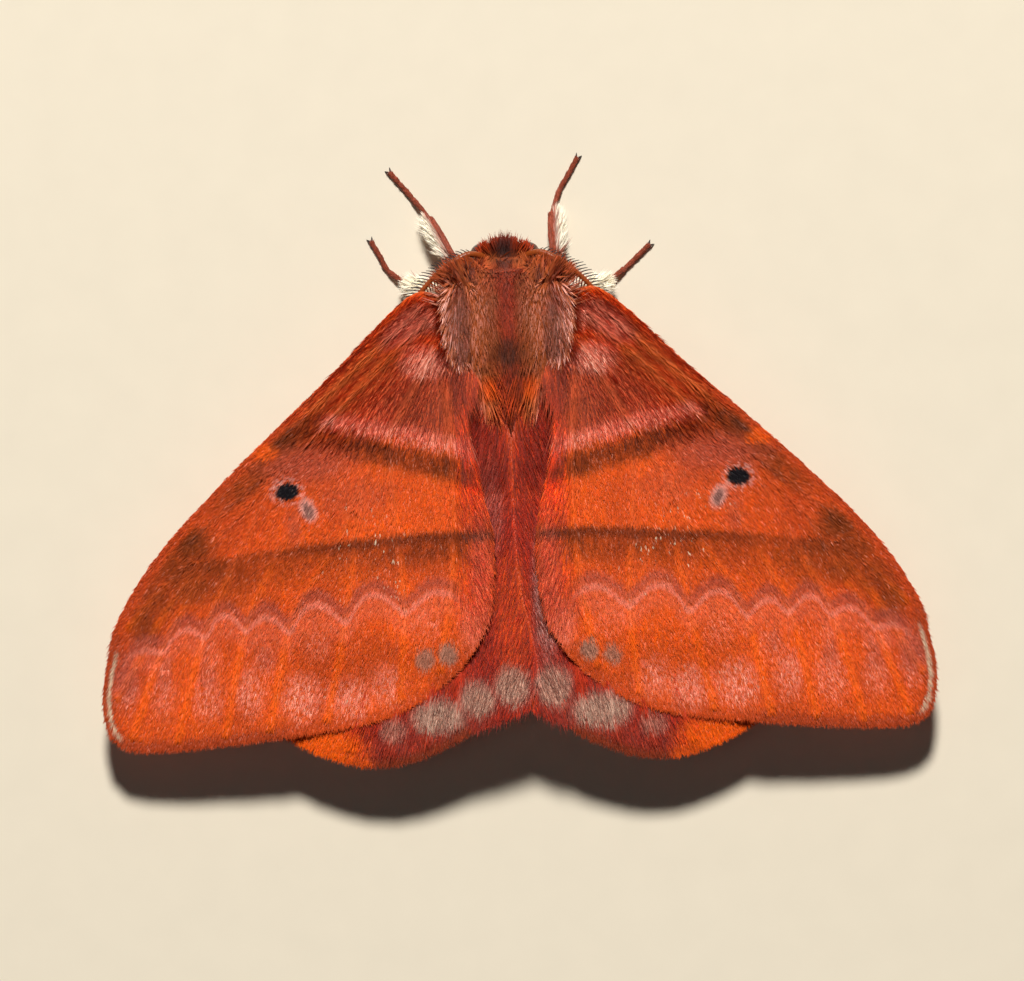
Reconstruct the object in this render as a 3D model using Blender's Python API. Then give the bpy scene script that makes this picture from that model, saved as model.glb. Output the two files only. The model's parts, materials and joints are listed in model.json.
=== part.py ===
"""A hirpidine moth at rest, life size, as one still model of named solids.

The moth stands on its six feet with its wings spread flat over its back, head towards +Y.
Sizes are in millimetres until make_object turns them into metres.
"""

import math
import random

import bmesh
import bpy
from mathutils import Matrix, Vector
from mathutils.bvhtree import BVHTree
from mathutils.geometry import delaunay_2d_cdt

MM = 0.001
GAP = 0.3
draw = random.Random(7)

# Thorax, abdomen and head are rings along the body, from front to back.
# Each ring is (y, half width, height of the middle, half height).
THORAX_RINGS = (
    (14.8, 1.1, 6.2, 1.2),
    (14.4, 2.3, 6.1, 2.4),
    (13.3, 3.5, 6.0, 3.6),
    (11.6, 4.1, 6.0, 4.2),
    (9.4, 4.25, 6.0, 4.4),
    (7.4, 3.9, 5.9, 4.0),
    (5.8, 3.3, 5.6, 3.0),
    (4.4, 2.7, 5.3, 2.4),
    (3.4, 2.1, 5.0, 1.9),
)
THORAX_SIDES = 18

ABDOMEN_FRONT_Y = THORAX_RINGS[-1][0] - GAP
ABDOMEN_TAIL_Y = -13.2
ABDOMEN_HALF_WIDTH = 2.7
ABDOMEN_HALF_HEIGHT = 2.4
ABDOMEN_MID_Z = 4.0
ABDOMEN_WAIST_RISE = 0.8
ABDOMEN_TAIL_DROP = 0.5
ABDOMEN_SEGMENTS = 7
ABDOMEN_SIDES = 14

HEAD_CENTRE = Vector((0.0, 16.0, 4.9))
HEAD_HALF = Vector((2.2, 1.05, 2.1))
HEAD_RINGS = 7
HEAD_SIDES = 14
EYE_CENTRE = Vector((1.85, 16.1, 4.6))
EYE_RADIUS = 0.95
PALP_PATH = ((0.62, 16.75, 2.7), (0.7, 17.2, 3.3), (0.62, 17.25, 4.1))
PALP_RADIUS = 0.36

# Antennae: out from the crown, then back under the front edge of the forewing.
ANTENNA_PATH = (
    (1.35, 16.15, 7.15),
    (2.6, 16.1, 7.05),
    (3.8, 15.5, 6.85),
    (5.0, 14.7, 6.6),
    (6.3, 13.5, 6.3),
    (7.4, 12.0, 5.95),
    (8.2, 10.3, 5.6),
    (8.8, 8.6, 5.3),
)
ANTENNA_RADIUS = 0.3
RAMUS_PITCH = 0.9
RAMUS_LENGTH = 1.5
RAMUS_RADIUS = 0.27
RAMUS_LEAN = math.radians(28)

# Forewing plan, right side: the margin from the front of the root, round the apex, to its rear.
FOREWING_MARGIN = (
    (5.3, 12.95),
    (6.9, 13.1),
    (9.1, 11.5),
    (13.7, 7.0),
    (19.2, 2.0),
    (23.2, -1.8),
    (26.8, -5.5),
    (29.7, -9.3),
    (31.6, -13.2),
    (32.45, -17.0),
    (32.1, -19.8),
    (30.7, -21.3),
    (28.0, -21.6),
    (22.5, -21.25),
    (18.2, -20.8),
    (13.0, -20.15),
    (9.4, -19.3),
    (6.3, -17.6),
    (3.9, -15.4),
    (2.4, -12.6),
    (1.8, -9.3),
    (1.75, -5.5),
    (2.4, -2.4),
    (3.2, 1.0),
    (3.6, 4.2),
)
FOREWING_ROOT_Y = (12.4, 6.8)
FOREWING_VEINS = {
    "subcosta": ((6.6, 12.0), (11.8, 7.6), (17.4, 2.6), (20.0, 0.2)),
    "radius": ((6.0, 11.2), (11.4, 6.2), (15.8, 1.7), (18.4, -0.8)),
    "radius_1": ((15.8, 1.7), (20.6, -1.7), (25.0, -5.3)),
    "radius_2": ((18.4, -0.8), (22.6, -5.0), (26.9, -8.6), (29.9, -11.8)),
    "radius_4": ((22.6, -5.0), (27.4, -11.2), (31.0, -17.2)),
    "radius_5": ((22.6, -5.0), (25.2, -9.6), (27.4, -13.6), (30.0, -20.3)),
    "media_1": ((18.4, -0.8), (21.2, -6.4), (24.1, -12.5), (26.5, -20.6)),
    "media_2": ((16.2, -3.3), (18.8, -7.6), (20.9, -12.2), (22.8, -20.3)),
    "media_3": ((13.4, -5.6), (15.7, -8.8), (17.6, -12.5), (19.3, -19.9)),
    "cubitus": ((5.2, 9.4), (8.6, 3.6), (11.6, -1.6), (13.4, -5.6)),
    "cubitus_1": ((11.6, -1.6), (12.4, -7.0), (13.2, -11.9), (14.9, -19.4)),
    "cubitus_2": ((9.4, 2.2), (9.0, -5.0), (8.6, -11.2), (9.2, -18.0)),
    "anal": ((4.8, 7.2), (4.6, 0.0), (4.8, -8.0), (6.0, -15.8)),
    "cross_vein": ((18.4, -0.8), (16.2, -3.3), (13.4, -5.6)),
}
# Hindwing plan, right side, the same way round.
HINDWING_MARGIN = (
    (6.0, 4.2),
    (9.4, 1.4),
    (13.2, -3.2),
    (17.0, -8.4),
    (19.9, -12.9),
    (20.9, -16.6),
    (19.8, -19.4),
    (17.6, -21.2),
    (15.0, -22.5),
    (12.4, -23.25),
    (9.9, -23.3),
    (7.2, -22.6),
    (4.2, -21.2),
)
HINDWING_ROOT_Y = (6.0, 4.4)
HINDWING_VEINS = {
    "subcosta": ((5.4, 3.2), (11.0, -2.4), (16.4, -9.8), (19.4, -14.8)),
    "radius": ((4.8, 2.0), (9.6, -3.8), (14.5, -11.0), (18.4, -18.4)),
    "media_1": ((9.6, -3.8), (13.4, -12.6), (16.2, -20.4)),
    "media_2": ((8.2, -5.4), (10.9, -14.0), (13.2, -21.8)),
    "media_3": ((6.4, -6.6), (8.6, -15.0), (10.2, -22.0)),
    "cubitus": ((3.9, 1.2), (5.1, -2.6), (6.4, -6.6)),
    "cubitus_1": ((5.1, -2.6), (6.2, -13.0), (7.3, -21.2)),
    "cubitus_2": ((3.9, 1.2), (4.0, -10.0), (4.9, -19.8)),
    "cross_vein": ((9.6, -3.8), (8.2, -5.4), (6.4, -6.6)),
}
# The line down the back where the two hindwings meet, from the tail forward.
HINDWING_SEAM = (
    (0.75, -19.1),
    (1.45, -16.4),
    (1.1, -13.4),
    (0.4, -10.2),
    (0.05, -6.0),
    (0.0, -2.0),
    (0.0, 1.6),
)
WING_THICKNESS = 0.5
OUTLINE_STEP = 2.0
GRID_STEP = 3.6
VEIN_STEP = 3.2
VEIN_RISE = 0.26
VEIN_HALF_WIDTH = 0.45
MERGE_WITHIN = 0.01
RAY_STEP = 1e-7

# Forewing surface: it falls towards the tip, rises towards the body and rolls down at the costa.
SHOULDER = Vector((6.0, 13.0))
COSTA_DIRECTION = Vector((0.628, -0.778))
WING_BASE_Z = 8.6
SPAN_DROP = 0.08
CHORD_RISE = 0.05
COSTA_ROLL = 0.5
COSTA_ROLL_WIDTH = 2.5
HINDWING_BELOW = 1.1
HINDWING_DROOP_FROM_Y = -17.0
HINDWING_DROOP = 0.012

# Legs: hip in plan, then knee, heel of the tibia, bend of the foot and tip of the foot.
# The left fore and middle legs stand a little wider than the right ones.
LEGS = {
    "fore_right": ((2.0, 13.2), (3.9, 15.6, 2.9), (3.8, 19.2, 1.0), (4.4, 20.9, 0.34), (5.7, 23.1, 0.3)),
    "fore_left": ((-2.0, 13.2), (-4.0, 15.6, 2.9), (-5.8, 19.1, 1.0), (-7.2, 20.9, 0.34), (-8.5, 22.5, 0.3)),
    "mid_right": ((2.5, 10.6), (4.9, 12.7, 3.1), (7.8, 13.6, 1.1), (9.4, 14.75, 0.34), (11.0, 16.2, 0.3)),
    "mid_left": ((-2.5, 10.6), (-4.7, 12.9, 3.1), (-7.5, 13.9, 1.1), (-9.1, 15.1, 0.34), (-10.2, 17.1, 0.3)),
    "hind_right": ((2.4, 7.6), (6.4, 5.0, 3.3), (9.0, -1.4, 1.1), (9.9, -4.2, 0.34), (10.8, -8.0, 0.3)),
    "hind_left": ((-2.4, 7.6), (-6.4, 5.0, 3.3), (-9.2, -1.4, 1.1), (-10.2, -4.2, 0.34), (-11.0, -8.0, 0.3)),
}
FEMUR_RADIUS = 0.6
TIBIA_RADIUS = 0.48
FOOT_RADIUS = 0.42
FOOT_SEGMENT_SWELL = 0.12
LEG_SIDES = 8
CLAW_LENGTH = 0.85
CLAW_RADIUS = 0.24
CLAW_SPREAD = math.radians(24)

# Locks of the coat: how far along the lock each ring lies, its width and its thickness there.
LONG_LOCK = ((-0.2, 0.8, 1.0), (0.25, 1.0, 1.0), (0.65, 0.75, 0.9))
SHORT_LOCK = ((-0.25, 0.85, 1.0), (0.4, 1.0, 1.0))
LOCK_SINK = 0.6
LOCK_BEDDING = 0.12
LOCK_THICKNESS = 0.52
# How much the draw varies a lock's length, lift and turn.
LENGTH_VARIATION = 0.16
LIFT_VARIATION = 0.25
TURN_VARIATION = 0.07
# A lock that would come too near a neighbour is lifted and shortened a step at a time.
CLEARING_STEPS = 5
CLEARING_LIFT = 0.22
CLEARING_LENGTH = 0.88

COLOURS = {
    "coat_brown": ((0.20, 0.065, 0.035), 0.85),
    "coat_orange": ((0.42, 0.09, 0.02), 0.8),
    "coat_cream": ((0.80, 0.72, 0.58), 0.8),
    "wing_orange": ((0.50, 0.085, 0.022), 0.6),
    "wing_red": ((0.42, 0.05, 0.03), 0.6),
    "leg_rust": ((0.24, 0.045, 0.025), 0.7),
    "eye_dark": ((0.012, 0.009, 0.008), 0.15),
}


def material(name):
    """The named finish, made once."""
    found = bpy.data.materials.get(name)
    if found:
        return found
    made = bpy.data.materials.new(name)
    made.use_nodes = True
    shader = made.node_tree.nodes["Principled BSDF"]
    colour, roughness = COLOURS[name]
    shader.inputs["Base Color"].default_value = (*colour, 1.0)
    shader.inputs["Roughness"].default_value = roughness
    shader.inputs["Metallic"].default_value = 0.0
    return made


def make_object(name, points, faces, finish):
    """A mesh object from points in millimetres, with its faces turned outwards."""
    mesh = bpy.data.meshes.new(name)
    mesh.from_pydata([Vector(p) * MM for p in points], [], faces)
    shape = bmesh.new()
    shape.from_mesh(mesh)
    bmesh.ops.recalc_face_normals(shape, faces=shape.faces)
    shape.to_mesh(mesh)
    shape.free()
    mesh.materials.append(material(finish))
    made = bpy.data.objects.new(name, mesh)
    bpy.context.scene.collection.objects.link(made)
    return made


def keep_largest(thing):
    """Drops every closed surface of a mesh but the largest."""
    shape = bmesh.new()
    shape.from_mesh(thing.data)
    left = set(shape.verts)
    surfaces = []
    while left:
        surface, reached = [], [left.pop()]
        while reached:
            vertex = reached.pop()
            surface.append(vertex)
            for edge in vertex.link_edges:
                other = edge.other_vert(vertex)
                if other in left:
                    left.remove(other)
                    reached.append(other)
        surfaces.append(surface)
    surfaces.sort(key=len)
    dropped = [vertex for surface in surfaces[:-1] for vertex in surface]
    bmesh.ops.delete(shape, geom=dropped, context="VERTS")
    shape.to_mesh(thing.data)
    shape.free()


def apply_boolean(thing, others, operation):
    """Joins the other objects to this one, or cuts them from it, and removes them."""
    pieces = bpy.data.collections.new("pieces")
    bpy.context.scene.collection.children.link(pieces)
    for other in others:
        pieces.objects.link(other)
    modifier = thing.modifiers.new(operation.lower(), "BOOLEAN")
    modifier.operation = operation
    modifier.operand_type = "COLLECTION"
    modifier.collection = pieces
    graph = bpy.context.evaluated_depsgraph_get()
    thing.data = bpy.data.meshes.new_from_object(thing.evaluated_get(graph))
    thing.modifiers.clear()
    for other in others:
        bpy.data.objects.remove(other)
    bpy.data.collections.remove(pieces)
    keep_largest(thing)


def smooth_line(points, step):
    """Points about step apart on a Catmull-Rom curve through the given ones."""
    points = [Vector(p) for p in points]
    line = []
    for i, (start, end) in enumerate(zip(points, points[1:])):
        before = points[i - 1] if i else start * 2 - end
        after = points[i + 2] if i + 2 < len(points) else end * 2 - start
        pieces = max(1, round((end - start).length / step))
        for k in range(pieces):
            t = k / pieces
            bend = (2 * before - 5 * start + 4 * end - after) * t**2
            turn = (3 * start - 3 * end + after - before) * t**3
            line.append((2 * start + (end - before) * t + bend + turn) * 0.5)
    line.append(points[-1])
    return line


def mirrored(at, side):
    """A right-hand point, or its mirror image on the left."""
    return Vector((at[0] * side, *at[1:]))


def ring_faces(rings, sides):
    """Faces between successive rings of points, and one across each end."""
    faces = [tuple(range(sides)), tuple(range((rings - 1) * sides, rings * sides))]
    for ring in range(rings - 1):
        for k in range(sides):
            here, there = ring * sides + k, ring * sides + (k + 1) % sides
            faces.append((here, there, there + sides, here + sides))
    return faces


def ring_at(rings, y):
    """(half width, middle height, half height) of a body at a place along it."""
    for ahead, behind in zip(rings, rings[1:]):
        if ahead[0] >= y >= behind[0]:
            t = (ahead[0] - y) / (ahead[0] - behind[0])
            return tuple(a + (b - a) * t for a, b in zip(ahead[1:], behind[1:]))
    return rings[0][1:] if y > rings[0][0] else rings[-1][1:]


def skin_point(rings, angle, y):
    """The point on a body's skin at an angle round it, counted from its right side up."""
    half_width, mid_z, half_height = ring_at(rings, y)
    return Vector((half_width * math.cos(angle), y, mid_z + half_height * math.sin(angle)))


def skin_normal(rings, angle, y):
    """The direction out of the skin there, seen along the body."""
    half_width, _, half_height = ring_at(rings, y)
    out = Vector((math.cos(angle) / half_width, 0, math.sin(angle) / half_height))
    return out.normalized()


def body_shape(rings, sides):
    """Points and faces of a body, with flat ends."""
    turns = [2 * math.pi * k / sides for k in range(sides)]
    points = [skin_point(rings, angle, ring[0]) for ring in rings for angle in turns]
    return points, ring_faces(len(rings), sides)


def tube_shape(path, radii, sides, flatten=1.0, floor=None):
    """Points and faces of a closed tube along a path. It is flatten times as high as wide."""
    points = []
    for i, at in enumerate(path):
        ahead = (path[min(i + 1, len(path) - 1)] - path[max(i - 1, 0)]).normalized()
        across = ahead.cross(Vector((0, 0, 1))).normalized()
        up = across.cross(ahead)
        for k in range(sides):
            angle = 2 * math.pi * (k + 0.5) / sides
            out = across * math.cos(angle) + up * math.sin(angle) * flatten
            points.append(at + out * radii[i])
    if floor is not None:
        for point in points:
            point.z = max(point.z, floor)
    return points, ring_faces(len(path), sides)


def lock_shape(rings, centres, ups, width):
    """Points and faces of a flat lock with a low keel, which tapers to a point."""
    points = []
    for i, (_, broad, thick) in enumerate(rings):
        along = centres[i + 1] - centres[i]
        across = along.cross(ups[i]).normalized() * width / 2 * broad
        keel = ups[i] * LOCK_THICKNESS * thick
        points += [centres[i] + across, centres[i] + keel, centres[i] - across]
    points.append(centres[-1])
    sides = 3
    faces = ring_faces(len(rings), sides)
    last = faces.pop(1)
    tip = len(points) - 1
    faces += [(last[k], last[(k + 1) % sides], tip) for k in range(sides)]
    return points, faces


def spine_shape(root, tip, radius, sides=3):
    """Points and faces of a straight spine that tapers to a point."""
    points, _ = tube_shape((root, tip), (radius, radius), sides)
    base = tuple(range(sides))
    faces = [base] + [(k, (k + 1) % sides, sides) for k in base]
    return points[:sides] + [tip], faces


def is_within(place, tree):
    """Whether a place lies inside a closed surface, from how often a line upwards crosses it."""
    up = Vector((0, 0, 1))
    crossings, start = 0, place
    while True:
        hit = tree.ray_cast(start, up)[0]
        if hit is None:
            return crossings % 2 == 1
        crossings, start = crossings + 1, hit + up * RAY_STEP


def is_clear(points, neighbours):
    """Whether a lock's corners, and the places between them, keep the gap to its neighbours."""
    tested = points + [(a + b) / 2 for i, a in enumerate(points) for b in points[:i]]
    places = [point * MM for point in tested]
    for tree in neighbours:
        if any(tree.find_nearest(place)[3] < GAP * MM for place in places):
            return False
        if any(is_within(place, tree) for place in places):
            return False
    return True


def tree_of(thing):
    """A solid's surface, for measuring distances to it."""
    corners = [vertex.co for vertex in thing.data.vertices]
    return BVHTree.FromPolygons(corners, [list(face.vertices) for face in thing.data.polygons])


def varied(size, share):
    """A size changed at random by up to a share of itself."""
    return size * (1 + draw.uniform(-share, share))


def lock_height(share, lift):
    """How far a lock's underside stands off the skin it grows from."""
    return lift * share**1.5 - LOCK_BEDDING if share > 0 else -LOCK_SINK


def grow_lock(rings, line_at, length, width, lift, neighbours):
    """A lock along line_at(share, length, lift), lifted and shortened until it is clear."""
    length, lift = varied(length, LENGTH_VARIATION), varied(lift, LIFT_VARIATION)
    shares = [ring[0] for ring in rings] + [1.0]
    for _ in range(CLEARING_STEPS):
        places = [line_at(share, length, lift) for share in shares]
        centres, ups = [p[0] for p in places], [p[1] for p in places]
        points, faces = lock_shape(rings, centres, ups, width)
        if is_clear(points[3:], neighbours):
            return make_object("lock", points, faces, "coat_brown")
        length, lift = length * CLEARING_LENGTH, lift + CLEARING_LIFT
    return None


def coat_lock(shape, rings, angle, y, run, turn, length, width, lift, neighbours):
    """A lock that follows a body's skin, running towards +Y or -Y and turning round it."""
    turn += draw.uniform(-TURN_VARIATION, TURN_VARIATION)

    def line_at(share, length, lift):
        at_angle, at_y = angle + turn * share, y + run * length * share
        up = skin_normal(rings, at_angle, at_y)
        return skin_point(rings, at_angle, at_y) + up * lock_height(share, lift), up

    return grow_lock(shape, line_at, length, width, lift, neighbours)


def limb_lock(start, end, share_along, angle, radius, length, width, lift, neighbours=()):
    """A lock on a straight limb that lies along it towards its far end."""
    along = (end - start).normalized()
    across = along.cross(Vector((0, 0, 1))).normalized()
    out = across * math.cos(angle) + across.cross(along) * math.sin(angle)
    root = start.lerp(end, share_along)

    def line_at(share, length, lift):
        return root + along * length * share + out * (radius + lock_height(share, lift)), out

    return grow_lock(SHORT_LOCK, line_at, length, width, lift, neighbours)


def add_locks(thing, locks):
    """Fuses locks into the node they grow from. Those that found no room are left out."""
    apply_boolean(thing, [lock for lock in locks if lock], "UNION")


def thorax_side(y, z):
    """How far out the side of the thorax is at a height."""
    half_width, mid_z, half_height = ring_at(THORAX_RINGS, y)
    share = min(1.0, abs(z - mid_z) / half_height)
    return half_width * math.sqrt(1 - share**2)


def thorax_underside(x, y):
    """Height of the thorax's underside."""
    half_width, mid_z, half_height = ring_at(THORAX_RINGS, y)
    return mid_z - half_height * math.sqrt(1 - (x / half_width) ** 2)


def make_thorax():
    return make_object("thorax", *body_shape(THORAX_RINGS, THORAX_SIDES), "coat_brown")


def degrees(*values):
    return [math.radians(value) for value in values]


def add_thorax_coat(thorax, neighbours):
    """A ruff over the neck, the back, a lobe over each wing's root, both flanks and the waist."""
    locks = []

    def row(y, angles, run, length, width, lift, fan=0.0):
        for angle in angles:
            way = (run, -fan * math.cos(angle))
            size = (length, width, lift)
            locks.append(coat_lock(LONG_LOCK, THORAX_RINGS, angle, y, *way, *size, neighbours))

    back = degrees(52, 71, 90, 109, 128)
    between = degrees(61, 80, 100, 119)
    row(14.1, degrees(24, 57, 90, 123, 156), 1, 1.6, 1.9, 0.7)
    row(13.2, degrees(15, 40, 65, 90, 115, 140, 165), -1, 2.6, 1.9, 0.8)
    for number, y in enumerate((12.0, 10.6, 9.2, 7.8, 6.6)):
        row(y, between if number % 2 else back, -1, 3.1, 1.95, 0.9, fan=0.3)
    for y in (13.8, 12.6, 11.4, 10.2, 9.0):
        row(y, degrees(62, 118), -1, 3.4, 1.4, 2.0, fan=1.1)
    row(5.4, degrees(52, 77, 103, 128), -1, 3.6, 1.8, 0.9, fan=0.15)
    for y in (12.8, 10.9, 9.0, 7.1):
        row(y, degrees(-34, -12, -146, -168), -1, 2.8, 1.9, 0.7)
    row(13.8, degrees(-50, -90, -130), -1, 2.2, 1.9, 0.5)
    row(8.6, degrees(-65, -115), -1, 2.6, 1.9, 0.4)
    add_locks(thorax, locks)


def abdomen_rings():
    """One ring for each segment, waisted at the front and tapered to the tail."""
    length = ABDOMEN_FRONT_Y - ABDOMEN_TAIL_Y
    rings = []
    for segment in range(ABDOMEN_SEGMENTS + 1):
        t = segment / (ABDOMEN_SEGMENTS + 1)
        size = math.sqrt(1 - t**2.6) * (0.82 + 0.18 * min(1.0, t / 0.12))
        waist = ABDOMEN_WAIST_RISE * max(0.0, 1 - t / 0.15)
        mid_z = ABDOMEN_MID_Z + waist - ABDOMEN_TAIL_DROP * t
        half_width, half_height = ABDOMEN_HALF_WIDTH * size, ABDOMEN_HALF_HEIGHT * size
        rings.append((ABDOMEN_FRONT_Y - t * length, half_width, mid_z, half_height))
    tail_z = ABDOMEN_MID_Z - ABDOMEN_TAIL_DROP
    rings.append((ABDOMEN_TAIL_Y, 0.8, tail_z, 0.7))
    return rings


def make_abdomen():
    return make_object("abdomen", *body_shape(abdomen_rings(), ABDOMEN_SIDES), "coat_orange")


def add_abdomen_coat(abdomen, neighbours):
    """A row of locks round the sides and belly of each segment, and a tuft at the tail."""
    rings = abdomen_rings()
    locks = []
    pitch = (ABDOMEN_FRONT_Y - ABDOMEN_TAIL_Y) / ABDOMEN_SEGMENTS
    odd_row = degrees(-172, -131, -90, -49, -8)
    even_row = degrees(-151, -110, -70, -29, 12, 168)
    for segment in range(ABDOMEN_SEGMENTS):
        y = ABDOMEN_FRONT_Y - pitch * (segment + 0.3)
        for angle in odd_row if segment % 2 else even_row:
            locks.append(coat_lock(SHORT_LOCK, rings, angle, y, -1, 0.0, 2.7, 2.0, 0.6, neighbours))
    tail_locks = 6
    for k in range(tail_locks):
        angle = 2 * math.pi * k / tail_locks
        y = ABDOMEN_TAIL_Y + 0.9
        locks.append(coat_lock(SHORT_LOCK, rings, angle, y, -1, 0.0, 2.4, 1.3, 0.4, neighbours))
    add_locks(abdomen, locks)


def ball_rings(centre, half, count):
    """Rings of an ellipsoid whose poles lie along Y."""
    rings = []
    for i in range(count):
        polar = math.pi * (i + 0.5) / count
        y, size = centre.y + half.y * math.cos(polar), math.sin(polar)
        rings.append((y, half.x * size, centre.z, half.z * size))
    return rings


def make_eye(name, side, grown=0.0):
    radius = EYE_RADIUS + grown
    centre = mirrored(EYE_CENTRE, side)
    points, faces = body_shape(ball_rings(centre, Vector((radius,) * 3), 8), 14)
    return make_object(name, [p + Vector((centre.x, 0, 0)) for p in points], faces, "eye_dark")


def make_head():
    """The head, with a socket cut for each eye."""
    rings = ball_rings(HEAD_CENTRE, HEAD_HALF, HEAD_RINGS)
    head = make_object("head", *body_shape(rings, HEAD_SIDES), "coat_orange")
    sockets = [make_eye("socket", side, GAP) for side in (1, -1)]
    apply_boolean(head, sockets, "DIFFERENCE")
    return head


def add_head_coat(head, neighbours):
    """A tuft that leans forward over the face from the crown."""
    rings = ball_rings(HEAD_CENTRE, HEAD_HALF, HEAD_RINGS)
    locks = []
    for y, angles, length in (
        (15.5, degrees(48, 76, 104, 132), 1.5),
        (16.1, degrees(40, 65, 90, 115, 140), 1.3),
        (16.6, degrees(52, 78, 102, 128), 0.85),
    ):
        for angle in angles:
            lean = (math.pi / 2 - angle) * 0.25
            locks.append(coat_lock(SHORT_LOCK, rings, angle, y, 1, lean, length, 1.1, 0.55, neighbours))
    add_locks(head, locks)


def make_palp(name, side):
    path = smooth_line([mirrored(p, side) for p in PALP_PATH], 0.4)
    radii = [PALP_RADIUS * (1 - 0.4 * i / (len(path) - 1)) for i in range(len(path))]
    return make_object(name, *tube_shape(path, radii, 8), "coat_orange")


def make_antenna(name, side):
    """A tapered shaft with a comb of rami down both sides."""
    path = smooth_line([mirrored(p, side) for p in ANTENNA_PATH], 0.9)
    radii = [ANTENNA_RADIUS * (1 - 0.3 * i / (len(path) - 1)) for i in range(len(path))]
    return make_object(name, *tube_shape(path, radii, 6), "coat_orange")


def add_rami(antenna, side):
    """The rami are longest near the middle of the shaft and lean towards its tip."""
    path = smooth_line([mirrored(p, side) for p in ANTENNA_PATH], RAMUS_PITCH)
    rami = []
    for i in range(1, len(path) - 1):
        along = (path[i + 1] - path[i - 1]).normalized()
        across = along.cross(Vector((0, 0, 1))).normalized()
        share = i / (len(path) - 1)
        length = RAMUS_LENGTH * (0.35 + 0.65 * math.sin(math.pi * share) ** 0.7)
        for hand in (1, -1):
            reach = across * hand * math.cos(RAMUS_LEAN) + along * math.sin(RAMUS_LEAN)
            tip = path[i] + reach * varied(length, 0.06) - Vector((0, 0, 0.15))
            rami.append(make_object("ramus", *spine_shape(path[i], tip, RAMUS_RADIUS), "eye_dark"))
    apply_boolean(antenna, rami, "UNION")


def forewing_z(x, y, roll=COSTA_ROLL):
    """Height of the middle of the forewing. x counts outwards from the middle of the back."""
    place = Vector((x, y)) - SHOULDER
    along = place.dot(COSTA_DIRECTION)
    behind = place.dot(Vector((COSTA_DIRECTION.y, -COSTA_DIRECTION.x)))
    rolled = roll * math.exp(-max(behind, 0.0) / COSTA_ROLL_WIDTH)
    return WING_BASE_Z - SPAN_DROP * along + CHORD_RISE * behind - rolled


def hindwing_z(x, y):
    """Height of the middle of the hindwing, which lies close under the forewing."""
    past = max(0.0, HINDWING_DROOP_FROM_Y - y)
    return forewing_z(x, y, roll=0.0) - HINDWING_BELOW - HINDWING_DROOP * past**2


def root_line(ends, height):
    """The wing's root, which follows the side of the thorax at a small gap."""
    steps = 4
    line = []
    for i in range(steps + 1):
        y = ends[1] + (ends[0] - ends[1]) * i / steps
        underside = height(thorax_side(y, WING_BASE_Z), y) - WING_THICKNESS / 2
        line.append(Vector((thorax_side(y, underside) + GAP, y)))
    return line


def is_inside(at, outline):
    """Whether a point lies inside a closed outline."""
    hit = False
    for a, b in zip(outline, outline[1:] + outline[:1]):
        if (a.y > at.y) != (b.y > at.y):
            if at.x < a.x + (at.y - a.y) / (b.y - a.y) * (b.x - a.x):
                hit = not hit
    return hit


def has_room(at, others, space):
    return min((at - other).length for other in others) > space


def distance_to_line(at, line):
    """How far a point of the plan lies from a line of points."""
    nearest = []
    for start, end in zip(line, line[1:]):
        run = end - start
        share = max(0.0, min(1.0, (at - start).dot(run) / run.length_squared))
        nearest.append((at - start - run * share).length)
    return min(nearest)


def vein_rise(at, crests):
    """How far a vein lifts the upper surface at a point of the plan."""
    distance = min(distance_to_line(at, line) for line in crests)
    return VEIN_RISE * max(0.0, 1 - distance / VEIN_HALF_WIDTH)


def foot_lines(crests, outline):
    """Lines along the foot of each ridge, broken where another ridge or the margin is near."""
    lines = []
    for crest in crests:
        for hand in (1, -1):
            line = []
            for i, at in enumerate(crest):
                along = (crest[min(i + 1, len(crest) - 1)] - crest[max(i - 1, 0)]).normalized()
                foot = at + Vector((-along.y, along.x)) * VEIN_HALF_WIDTH * hand
                alone = all(distance_to_line(foot, other) > VEIN_HALF_WIDTH * 0.8 for other in crests)
                apart = all(has_room(foot, other, VEIN_HALF_WIDTH) for other in lines if other)
                if alone and apart and is_inside(foot, outline) and has_room(foot, outline, 0.4):
                    line.append(foot)
                else:
                    lines.append(line)
                    line = []
            lines.append(line)
    return [line for line in lines if line]


def grid_points(outline, taken):
    """Points of a staggered grid inside an outline, away from the points already taken."""
    xs, ys = [p.x for p in outline], [p.y for p in outline]
    found = []
    for row in range(int((max(ys) - min(ys)) / GRID_STEP) + 1):
        for column in range(int((max(xs) - min(xs)) / GRID_STEP) + 1):
            x = min(xs) + GRID_STEP * (column + 0.25 + 0.5 * (row % 2))
            at = Vector((x, min(ys) + GRID_STEP * (row + 0.5)))
            if is_inside(at, outline) and has_room(at, taken, GRID_STEP * 0.45):
                found.append(at)
    return found


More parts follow.
